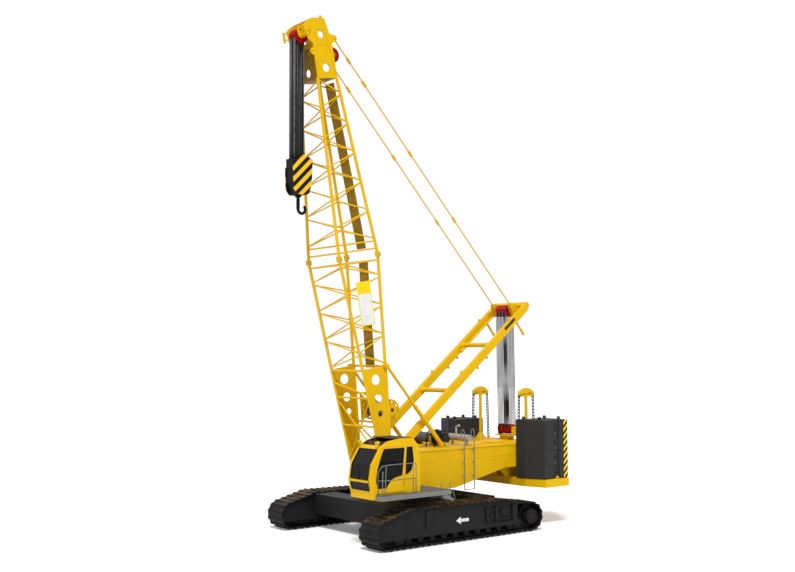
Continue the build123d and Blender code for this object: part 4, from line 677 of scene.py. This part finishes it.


# %% [markdown]
# The hook hangs in rows of eight falls between the boom head's sheaves and the block. Each fall runs
# straight down from under the sheaves to the block. Some falls carry old grease and read nearly black
# beside the bright ones.

# %% Hoist falls
ROPE_R = 0.015
ROPE_SIDES = 8
FALLS = 8
FALL_PITCH = 0.050
FALL_DROP = 0.110
HEAD_SHEAVE = (-0.610, 16.050)
sheave_centre = boom_at(0, *HEAD_SHEAVE)
FALL_ROWS = (-0.249, -0.125, 0.115)
GREASED = (3, 4, 8, 11, 12, 13, 15, 16, 19, 21, 22)
BLOCK_TOP = 13.400
falls = []
for row in FALL_ROWS:
    for k in range(FALLS):
        x = (k - (FALLS - 1) / 2) * FALL_PITCH
        y = sheave_centre.y + row
        falls.append([(x, y, sheave_centre.z - FALL_DROP), (x, y, BLOCK_TOP + 0.001)])
hoist_piece = tubes("hoist_falls_rope", falls, ROPE_R, ROPE_SIDES, rope_finish, greased_rope, GREASED)
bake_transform(hoist_piece)
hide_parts("hoist_ropes")

# %% [markdown]
# The luffing ropes pull the mast back: ten falls on each side run between the sheaves at the mast's
# head and those on the deck. They lie on the outer tangents of the two sets, worked out here from the
# two centres and the rope line's radii, and sunk a little into the grooves.

# %% Luffing falls
SINK = 0.026
LOW_R = 0.200 - SINK
HIGH_R = 0.240 - SINK
LOW_PACK = 0.700
HIGH_PACK = 0.600
GROOVES = 5
low = deck_at(0, 5.360, 3.470)
high = mast_at(0, MAST_LENGTH - 0.508, 0.098)
along = (high - low).normalized()
across = Vector((0, along.z, -along.y))
lift = (LOW_R - HIGH_R) / (high - low).length
falls = []
for groove in range(GROOVES):
    for offset in (-0.25, 0.25):
        share = (groove + 0.5 + offset) / GROOVES - 0.5
        low_x = Vector((share * LOW_PACK, 0, 0))
        high_x = Vector((share * HIGH_PACK, 0, 0))
        for edge in (-1, 1):
            reach = across * (edge * math.sqrt(1 - lift * lift)) + along * lift
            falls.append([low + low_x + reach * LOW_R, high + high_x + reach * HIGH_R])
two_in_three = [number for number in range(len(falls)) if number % 3]
luff_piece = tubes("luffing_falls_rope", falls, ROPE_R, ROPE_SIDES, rope_finish, greased_rope, two_in_three)
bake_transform(luff_piece)
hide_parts("luffing_ropes")

# %% [markdown]
# Rope lies on a winch drum in close turns. A spiral curve is the natural way to make it: one line of
# points round the drum, a little further along with each step, with the rope's section swept on it.

# %% Rope on the winch drums


def drum_turns(axis, x0, x1, radius, rope_r):
    """One spiral of close turns on a drum lying across the machine, round its axis."""
    last = int((x1 - x0) / (2 * rope_r * 1.04)) * TURN_STEPS
    run = []
    for i in range(last + 1):
        angle = 2 * math.pi * i / TURN_STEPS
        run.append((x0 + (x1 - x0) * i / last, axis[0] + radius * math.cos(angle), axis[1] + radius * math.sin(angle)))
    return run


TURN_STEPS = 20
BOOM_ROPE_R = 0.013
DECK_ROPE_R = 0.012
BOOM_WINCH = (0.760, 2.280)
DECK_WINCH = (1.250, 3.330)
boom_turns = drum_turns(BOOM_WINCH, -0.552, 0.552, 0.264, BOOM_ROPE_R)
deck_turns = drum_turns(DECK_WINCH, -0.632, 0.232, 0.183, DECK_ROPE_R)
rods("boom_winch_rope", [boom_turns], BOOM_ROPE_R, rope_finish, "boom_winch_rotor", 6, boom_at)
rods("deck_winch_rope", [deck_turns], DECK_ROPE_R, rope_finish, "deck_winch_rotor", 6)

# %% [markdown]
# The counterweight's short chains are real links: each a rounded ring of bent bar, every second one
# turned a quarter round. A tree bends one ring, sets it along the chain's line and turns it.

# %% Chain links
chain_steel = paint("chain_steel", srgb(30, 30, 31), srgb(62, 60, 56), 0.45, metallic=0.4, patch=20.0, dust=0.6,
                    shine=0.2)
tree = open_tree("chain_links", {"Links": 10, "Link length": 0.150, "Link width": 0.100, "Bar": 0.018})
link_length, link_width, bar_radius = (named(tree, label) for label in ("Link length", "Link width", "Bar"))
ring = add_node(tree, "GeometryNodeCurvePrimitiveCircle", {"Resolution": 12, "Radius": times(tree, link_width, 0.5)})[0]
half = add_node(tree, "ShaderNodeSeparateXYZ", {0: add_node(tree, "GeometryNodeInputPosition")[0]})["Y"]
spare = times(tree, sum_of(tree, link_length, link_width, "SUBTRACT"), 0.5)
pull = vector_of(tree, (0, times(tree, sum_of(tree, half, 0.0, "SIGN"), spare), 0))
link = swept(tree, add_node(tree, "GeometryNodeSetPosition", {"Geometry": ring, "Offset": pull})[0], bar_radius, 6)
placed = repeat_on_path(tree, link, named(tree, "Links"), "AUTO")
odd = sum_of(tree, add_node(tree, "GeometryNodeInputIndex")[0], 2.0, "MODULO")
quarter = vector_of(tree, (0, times(tree, odd, math.pi / 2), 0))
crossed = add_node(tree, "GeometryNodeRotateInstances", {"Instances": placed, "Rotation": quarter})[0]
chain_tree = close_tree(tree, crossed, chain_steel)
POST_X = 1.330
POST_Y = 5.130
TOP_Z = 4.900
EYE_Z = 3.110
HEAD_REACH = 0.375
EYE_REACH = 0.440
LINK_COUNT = 15
chains = []
for side in (-1, 1):
    for edge in (-1, 1):
        top = deck_at(side * POST_X, POST_Y + edge * HEAD_REACH, TOP_Z)
        end = deck_at(side * POST_X, POST_Y + edge * EYE_REACH, EYE_Z)
        reach = (end - top).normalized()
        line = [top + reach * 0.05, end - reach * 0.03]
        chains.append(grow("post_chain_" + str(len(chains) + 1), chain_tree, line, False, "upperworks", "rope_steel",
                           Links=LINK_COUNT))
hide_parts("counterweight_chains")

# %% [markdown]
# Panes sit in rubber. A dark rounded bead round each opening gives a cab its drawn look and hides the
# raw edge of the sheet. A tree sweeps one small section along the closed outline of each pane.

# %% Window seals
rubber = paint("seal_rubber", srgb(20, 20, 21), srgb(40, 40, 40), 0.65, patch=12.0, dust=0.4, bump=0.05, grain=220.0)
tree = open_tree("window_seal", {"Radius": 0.013})
line = add_node(tree, "GeometryNodeMeshToCurve", {"Mesh": named(tree, "Geometry")})[0]
line = add_node(tree, "GeometryNodeFilletCurve", {"Curve": line, "Count": 4, "Radius": 0.035, "Limit Radius": True},
                mode="POLY")[0]
seal_tree = close_tree(tree, swept(tree, line, named(tree, "Radius"), 8), rubber)

CAB_LEFT = 3.070
CAB_RIGHT = 1.820
DOOR_FACE = 3.108
PANE_X = (1.940, 2.950)


def side_loop(x, outline):
    """A pane in the cab's side, from its outline seen from the side."""
    return [deck_at(x, y, z) for y, z in outline]


def front_loop(profile):
    """A pane between the two side rails, following the cab's bent front or roof line."""
    return side_loop(PANE_X[0], profile) + side_loop(PANE_X[1], profile[::-1])


PANES = {
    "door_seal": side_loop(DOOR_FACE, [(-3.31, 3.35), (-2.45, 3.35), (-2.55, 2.45), (-2.85, 2.40), (-3.02, 2.32),
                                       (-3.23, 2.07), (-3.56, 2.07), (-3.64, 2.30), (-3.58, 2.69), (-3.43, 3.11)]),
    "quarter_seal": side_loop(CAB_LEFT, [(-2.30, 3.37), (-2.08, 3.37), (-2.02, 2.88), (-2.13, 2.58), (-2.28, 2.48),
                                         (-2.42, 2.46)]),
    "right_seal": side_loop(CAB_RIGHT, [(-3.30, 3.34), (-2.00, 3.34), (-2.00, 2.35), (-3.45, 2.35), (-3.45, 3.05)]),
    "windshield_seal": front_loop([(-3.860, 2.35), (-3.794, 2.80), (-3.770, 2.87), (-3.468, 3.33)]),
    "lower_pane_seal": front_loop([(-3.793, 1.99), (-3.859, 2.24)]),
    "roof_pane_seal": front_loop([(-3.33, 3.463), (-3.12, 3.575), (-2.60, 3.663), (-2.15, 3.665)]),
    "rear_pane_seal": front_loop([(-1.728, 2.60), (-1.732, 2.86), (-1.781, 3.25)]),
}
for name, outline in PANES.items():
    grow(name, seal_tree, outline, True, "cab_sliding_door" if name == "door_seal" else "upperworks", "seat_black")

# %% [markdown]
# Small cab fittings tell the eye how big the machine is: the wiper on the windshield, the handle on
# the sliding door, the lamps' lenses, and inside, beside the seat, two consoles with a lever each
# and a screen. Bevelled bodies from one helper serve for all the boxy ones.

# %% Cab fittings


def bevelled(name, boxes, material, body, bevel=0.010, place=deck_at):
    """Boxes with rounded edges, each given by two corners, as one piece."""
    shape = bmesh.new()
    for low_corner, high_corner in boxes:
        cube = bmesh.ops.create_cube(shape, size=1.0)["verts"]
        for vert in cube:
            vert.co = Vector([a + (b - a) * (c + 0.5) for a, b, c in zip(low_corner, high_corner, vert.co)])
    bmesh.ops.bevel(shape, geom=list(shape.edges), offset=bevel, segments=2, profile=0.7, affect="EDGES")
    for vert in shape.verts:
        vert.co = place(*vert.co)
    bmesh.ops.recalc_face_normals(shape, faces=list(shape.faces))
    return add_piece(name, mesh_of(name, shape, material), body)


trim_black = paint("trim_black", srgb(26, 26, 27), srgb(44, 44, 44), 0.48, patch=9.0, dust=0.5, bump=0.05,
                   grain=160.0)
lens_glass = paint("lamp_lens", srgb(206, 172, 64), srgb(170, 140, 50), 0.15, patch=20.0, dust=0.3, shine=0.4)
rods("wiper", [[(2.42, -3.880, 2.33), (2.30, -3.862, 2.60), (2.18, -3.815, 2.86)],
               [(2.04, -3.866, 2.50), (2.16, -3.838, 2.72), (2.26, -3.776, 2.90)]],
     0.009, trim_black, "upperworks")
rods("door_handle", [[(DOOR_FACE, -2.50, 2.30), (3.145, -2.50, 2.30), (3.145, -2.50, 2.12),
                      (DOOR_FACE, -2.50, 2.12)]], 0.010, trim_black, "cab_sliding_door")
rods("cab_grab_rail", [[(2.99, -3.80, 2.10), (3.00, -3.90, 2.12), (3.00, -3.88, 2.78), (2.99, -3.77, 2.80)]], 0.014,
     trim_black, "upperworks")
for index, x in enumerate((1.970, 2.960)):
    rods("lamp_lens_" + str(index + 1), [[(x, -3.541, 3.5449), (x, -3.549, 3.5438)]], 0.052,
         lens_glass, "upperworks", 24)
bevelled("roof_visor", [((1.90, -2.90, 3.668), (2.99, -2.03, 3.682))], trim_black, "upperworks", 0.005)
bevelled("cab_consoles", [((2.02, -3.05, 1.89), (2.16, -2.35, 2.44)), ((2.74, -3.05, 1.89), (2.88, -2.35, 2.44)),
                          ((1.98, -3.66, 1.89), (2.90, -3.52, 2.18)), ((2.70, -3.50, 2.44), (2.90, -3.46, 2.64))],
         trim_black, "upperworks")
rods("cab_levers", [[(2.09, -2.95, 2.43), (2.09, -3.00, 2.62)], [(2.81, -2.95, 2.43), (2.81, -3.00, 2.62)],
                    [(2.80, -3.40, 1.90), (2.80, -3.48, 2.46)]], 0.018, trim_black, "upperworks")

# %% [markdown]
# Plates and marks: a white arrow on each track frame, a plain two-colour sign on the boom and a plain
# dark plate on the mast's leg. Each is a thin plate a few millimetres proud of the steel it is on,
# cut from its outline.

# %% Flat marks


def flat_mark(name, outline, place, face, proud, material, body):
    """A plate cut from a flat outline (two measures), standing proud of a face along X."""
    shape = bmesh.new()
    back = [shape.verts.new(place(face, a, b)) for a, b in outline]
    front = [shape.verts.new(place(face + proud, a, b)) for a, b in outline]
    shape.faces.new(back)
    shape.faces.new(front[::-1])
    for i in range(len(outline)):
        j = (i + 1) % len(outline)
        shape.faces.new((back[i], front[i], front[j], back[j]))
    bmesh.ops.recalc_face_normals(shape, faces=list(shape.faces))
    return add_piece(name, mesh_of(name, shape, material), body)


arrow_white = paint("arrow_white", srgb(226, 226, 222), srgb(150, 148, 142), 0.5, patch=7.0, dust=0.5)
sign_white = paint("sign_white", srgb(228, 228, 222), srgb(196, 194, 180), 0.4, patch=3.0, dust=0.4)
sign_yellow = paint("sign_yellow", srgb(240, 208, 10), srgb(206, 176, 20), 0.4, patch=3.0, dust=0.4)
plate_dark = paint("plate_dark", srgb(34, 32, 30), srgb(96, 88, 70), 0.45, patch=9.0, dust=0.6)
FRAME_FACE = 3.3205
ARROW = [(-0.330, 0.720), (-0.110, 0.590), (-0.110, 0.665), (0.260, 0.665), (0.260, 0.775), (-0.110, 0.775),
         (-0.110, 0.850)]
for side, name in ((1, "arrow_left"), (-1, "arrow_right")):
    flat_mark(name, ARROW, deck_at, side * FRAME_FACE, side * 0.002, arrow_white, "undercarriage")
SIGN_SPLIT = 6.650


def rectangle(a0, a1, b0, b1):
    """The outline of a rectangle between two measures each way."""
    return [(a0, b0), (a1, b0), (a1, b1), (a0, b1)]


SIGN = rectangle(-0.305, 0.305, 5.520, 7.100)
WHITE_FIELD = rectangle(-0.270, 0.270, 5.555, SIGN_SPLIT)
MAST_PLATE = rectangle(7.180, 7.880, 0.000, 0.120)
flat_mark("sign_back", SIGN, boom_at, 0.996, 0.008, sign_yellow, "boom")
flat_mark("sign_white_field", WHITE_FIELD, boom_at, 1.0045, 0.002, sign_white, "boom")
flat_mark("mast_plate", MAST_PLATE, mast_at, 0.9555, 0.003, plate_dark, "mast")

# %% [markdown]
# Bolts are the smallest thing that repeats here, so they come from a tree too: one six-sided head on
# its washer, set on loose points and turned to look out of the face that they are on.

# %% Bolt heads
bolt_steel = paint("bolt_steel", srgb(120, 118, 112), srgb(70, 66, 60), 0.40, metallic=0.7, patch=30.0, dust=0.6)


def bolt_tree(name, material):
    """A tree that sets one bolt head on each loose point."""
    tree = open_tree(name, {"Head": 0.022, "Height": 0.016, "Turn Y": 0.0})
    head = named(tree, "Head")
    height = named(tree, "Height")
    parts = []
    for sides, radius, depth, lift in ((6, head, height, height),
                                       (16, times(tree, head, 1.35), times(tree, height, 0.3), 0.0)):
        disc = add_node(tree, "GeometryNodeMeshCylinder", {"Vertices": sides, "Radius": radius, "Depth": depth})["Mesh"]
        move = vector_of(tree, (0, 0, times(tree, lift, 0.5)))
        parts.append(add_node(tree, "GeometryNodeTransform", {"Geometry": disc, "Translation": move})[0])
    turned = vector_of(tree, (0, named(tree, "Turn Y"), 0))
    spread = add_node(tree, "GeometryNodeInstanceOnPoints", {"Points": named(tree, "Geometry"),
                                                             "Instance": joined(tree, parts), "Rotation": turned})[0]
    return close_tree(tree, spread, material)


def ring_of(centre, radius, count):
    """Places at even steps round a circle."""
    angles = [2 * math.pi * i / count for i in range(count)]
    return [(centre[0] + radius * math.cos(angle), centre[1] + radius * math.sin(angle)) for angle in angles]


steel_bolts = bolt_tree("steel_bolt", bolt_steel)
yellow_bolts = bolt_tree("painted_bolt", crane_yellow)
black_bolts = bolt_tree("black_bolt", undercarriage_black)
COVER = ([(y, z) for y in (0.93, 2.45) for z in (0.46, 0.62, 0.79, 0.95, 1.11)]
         + [(0.93 + 0.19 * i, z) for i in range(1, 8) for z in (0.44, 1.13)])
STACK = [(5.050, z) for z in (2.34, 2.91, 3.46)]
AXLE_RING = ring_of(HEAD_SHEAVE, 0.100, 6)
DECK_ROW = [(y, 2.98) for y in (-0.8, -0.3, 0.2, 0.7)]
BOLTS = (
    ("drive_cover_bolts_", black_bolts, 3.320, COVER, "undercarriage", "undercarriage_black", {"Head": 0.018}),
    ("stack_bolts_", steel_bolts, 2.961, STACK, "upperworks", "pin_steel", {"Head": 0.026}),
    ("tray_knob_", yellow_bolts, 3.020, [(5.070, 1.800)], "upperworks", "crane_yellow",
     {"Head": 0.045, "Height": 0.045}),
    ("head_axle_bolts_", yellow_bolts, 0.568, AXLE_RING, "boom", "crane_yellow", {"Head": 0.014}),
    ("deck_bolts_", yellow_bolts, 1.7205, DECK_ROW, "upperworks", "crane_yellow", {"Head": 0.018}),
)
for side, label in ((1, "left"), (-1, "right")):
    for name, tree, x, spots, body, slot, sizes in BOLTS:
        place = boom_at if body == "boom" else deck_at
        sizes["Turn Y"] = side * math.pi / 2
        grow(name + label, tree, [place(side * x, a, b) for a, b in spots], None, body, slot, **sizes)
PIN_HALF = 0.105
joint_pins = []
for x_side in (-1, 1):
    for n_side in (-1, 1):
        x = x_side * half_width(JOINT_H)
        n = n_side * half_depth(JOINT_H)
        joint_pins.append([(x - PIN_HALF, n, JOINT_H), (x + PIN_HALF, n, JOINT_H)])
rods("boom_joint_pins", joint_pins, 0.030, pin_steel, "boom", 14, boom_at)

# %% [markdown]
# Fabricated box sections show their welds: a rounded bead where two sheets meet. The deck's side has
# one along its length and one across it near the rear, each a slim rod half sunk in the steel.

# %% Weld beads
DECK_SIDE_X = 1.7200
beads = []
for side in (-1, 1):
    x = side * DECK_SIDE_X
    beads.append([(x, -0.95, 2.640), (x, 5.58, 2.640)])
    beads.append([(x, 3.60, 2.190), (x, 3.60, 3.030)])
rods("deck_weld_beads", beads, 0.007, crane_yellow, "upperworks", 8)

# %% [markdown]
# The strip up the boom's rear face and the walkway beside the cab are grating, so cross bars run over
# them at a close pitch. A tree places one bar along a centre line, and a thin sheet with two raised
# edges closes the strip behind its bars.

# %% Grating bars


def bar_tree(name, material):
    """A tree that sets cross bars at an even pitch along a centre line."""
    tree = open_tree(name, {"Bars": 60, "Length": 0.350, "Depth": 0.006, "Width": 0.012})
    bar = box_part(tree, [named(tree, label) for label in ("Length", "Width", "Depth")], (0, 0, 0))
    return close_tree(tree, repeat_on_path(tree, bar, named(tree, "Bars")), material)


strip_tree = bar_tree("strip_bars", ochre_walkway)
walk_tree = bar_tree("walkway_bars", walkway_grey)
STRIP_HALF = 0.260
EDGE_WIDTH = 0.030
STRIP_LIFT = 0.0455
STRIP_LAYERS = (("_edge_right", -STRIP_HALF, EDGE_WIDTH - STRIP_HALF, 0.014),
                ("_edge_left", STRIP_HALF - EDGE_WIDTH, STRIP_HALF, 0.014),
                ("_sheet", -STRIP_HALF, STRIP_HALF, 0.003))
for name, h0, h1, bars in (("boom_strip_lower", 3.90, 7.79, 78), ("boom_strip_upper", 8.26, 14.34, 122)):
    n0, n1 = (half_depth(h) + STRIP_LIFT for h in (h0, h1))
    slope = (n1 - n0) / (h1 - h0)
    grow(name + "_bars", strip_tree, [boom_at(0, n0, h0), boom_at(0, n1, h1)], False, "boom",
                            "ochre_walkway", Bars=bars, Length=2 * STRIP_HALF, Width=0.018, Depth=0.022)
    for label, x0, x1, depth in STRIP_LAYERS:
        bevelled(name + label, [((x0, -depth, h0), (x1, depth, h1))], ochre_walkway, "boom", 0.001,
                 lambda x, d, h: boom_at(x, n0 + (h - h0) * slope + d, h))
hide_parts("boom_catwalk")
WALK_LINE = [deck_at(2.570, y, 1.831) for y in (-3.62, -0.62)]
grow("walkway_bars", walk_tree, WALK_LINE, False, "upperworks", "walkway_grey", Bars=76, Length=1.640)

# %% [markdown]
# The handrail is bent from round tube. Its line turns in bends, not in corners, so a helper cuts each
# corner with a short arc before the tube is swept along it. The front end folds in to the cab.

# %% Handrail


def rounded(points, radius, steps=6):
    """A line of points with every corner replaced by an arc."""
    points = [Vector(p) for p in points]
    run = [points[0]]
    for before, here, after in zip(points, points[1:], points[2:]):
        arm = min(radius, (before - here).length * 0.45, (after - here).length * 0.45)
        start = here + (before - here).normalized() * arm
        end = here + (after - here).normalized() * arm
        for step in range(steps + 1):
            share = step / steps
            run.append(start * (1 - share) ** 2 + here * 2 * share * (1 - share) + end * share ** 2)
    run.append(points[-1])
    return run


RAIL_X = 3.368
FOLD_X = 3.150
WALK_Z = 1.830
RAIL_Z = 2.850
MIDDLE_Z = 2.340
BEND_R = 0.11
rail_runs = [
    [(RAIL_X, -2.270, WALK_Z), (RAIL_X, -2.270, RAIL_Z), (RAIL_X, -3.420, RAIL_Z), (RAIL_X, -3.470, WALK_Z)],
    [(RAIL_X, -2.300, 2.840), (RAIL_X, -2.150, 2.840), (RAIL_X, -2.150, WALK_Z)],
    [(RAIL_X, -3.400, 2.840), (RAIL_X, -3.590, 2.830), (FOLD_X, -3.600, 2.600), (FOLD_X, -3.600, WALK_Z)],
    [(RAIL_X, -3.560, 2.650), (RAIL_X, -3.590, WALK_Z)],
    [(RAIL_X, -2.150, MIDDLE_Z), (RAIL_X, -3.590, MIDDLE_Z), (FOLD_X, -3.600, MIDDLE_Z)],
]
rail_piece = rods("handrail_tubes", [rounded(run, BEND_R) for run in rail_runs], 0.015, walkway_grey, "upperworks",
                  10)
step_posts = [[(RAIL_X, y, WALK_Z), (RAIL_X, y, 2.130)] for y in (-1.040, -0.640)]
rods("step_posts", step_posts, 0.016, walkway_grey, "upperworks", 10)
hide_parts("handrail")

# %% [markdown]
# A hydraulic motor drives the deck winch: a dark finned housing on the drum's end with three hoses bowed
# over to the deck. The fins are rings at an even pitch, and the hoses are short bent tubes fixed at both
# ends.

# %% Winch motor


def motor_rod(x0, x1):
    """A rod's run on the winch's axis, from one measure across the machine to another."""
    return [(x, *DECK_WINCH) for x in (x0, x1)]


FIN_PITCH = 0.040
FIN_WIDTH = 0.014
fin_places = [0.380 + FIN_PITCH * i for i in range(9)]
rods("winch_motor_fins", [motor_rod(x, x + FIN_WIDTH) for x in fin_places], 0.225, trim_black, "upperworks",
     24)
rods("winch_motor", [motor_rod(0.365, 0.760)], 0.195, trim_black, "upperworks", 24)
rods("winch_motor_end", [motor_rod(0.750, 1.060)], 0.130, trim_black, "upperworks", 20)
MOTOR_BOXES = [((0.420, 1.080, 3.042), (0.700, 1.420, 3.170)), ((0.820, 1.140, 3.440), (1.000, 1.360, 3.560)),
               ((0.440, 1.170, 3.530), (0.640, 1.330, 3.620))]
bevelled("winch_motor_foot", MOTOR_BOXES, trim_black, "upperworks")
hoses = []
for x, reach in ((0.50, 0.52), (0.60, 0.60), (0.90, 0.46)):
    y = DECK_WINCH[0]
    hose = [(x, y, 3.52), (x, y, 3.66), (x, y - reach, 3.62), (x, y - reach - 0.06, 3.045)]
    hoses.append(rounded(hose, 0.14))
rods("winch_hoses", hoses, 0.020, rubber, "upperworks", 8)

# %% [markdown]
# Small plates close what the main solids leave open: the webs under the curved heads of the two posts,
# and the guards inside each track's ends, behind the idler and the sprocket. The access steps below the
# walkway hang on slanted struts with a rail along their lower ends.

# %% Post heads, track guards and steps
POST_HEAD = ((0.370, -0.085, -0.020), (0.260, -0.030, 0.030), (0.170, 0.010, 0.060))
WEB_HALF = 0.045
webs = []
for side in (-1, 1):
    x = side * POST_X
    for half, z0, z1 in POST_HEAD:
        webs.append(((x - WEB_HALF, POST_Y - half, TOP_Z + z0), (x + WEB_HALF, POST_Y + half, TOP_Z + z1)))
bevelled("post_head_webs", webs, crane_yellow, "upperworks", 0.006)
for name, x0, x1 in (("track_guards_left", 2.62, 3.20), ("track_guards_right", -3.20, -2.62)):
    guards = [((x0, y0, 0.150), (x1, y1, 0.500)) for y0, y1 in ((-2.93, -2.52), (2.52, 2.93))]
    bevelled(name, guards, undercarriage_black, "undercarriage", 0.02)
STEP_X = 3.330
steps = [[(STEP_X, -1.040 + 0.190 * i, 1.765), (STEP_X, -0.910 + 0.177 * i, 1.530 - 0.020 * i)] for i in range(4)]
steps.append([steps[0][1], steps[3][1]])
rods("step_struts", steps, 0.016, walkway_grey, "upperworks", 8)
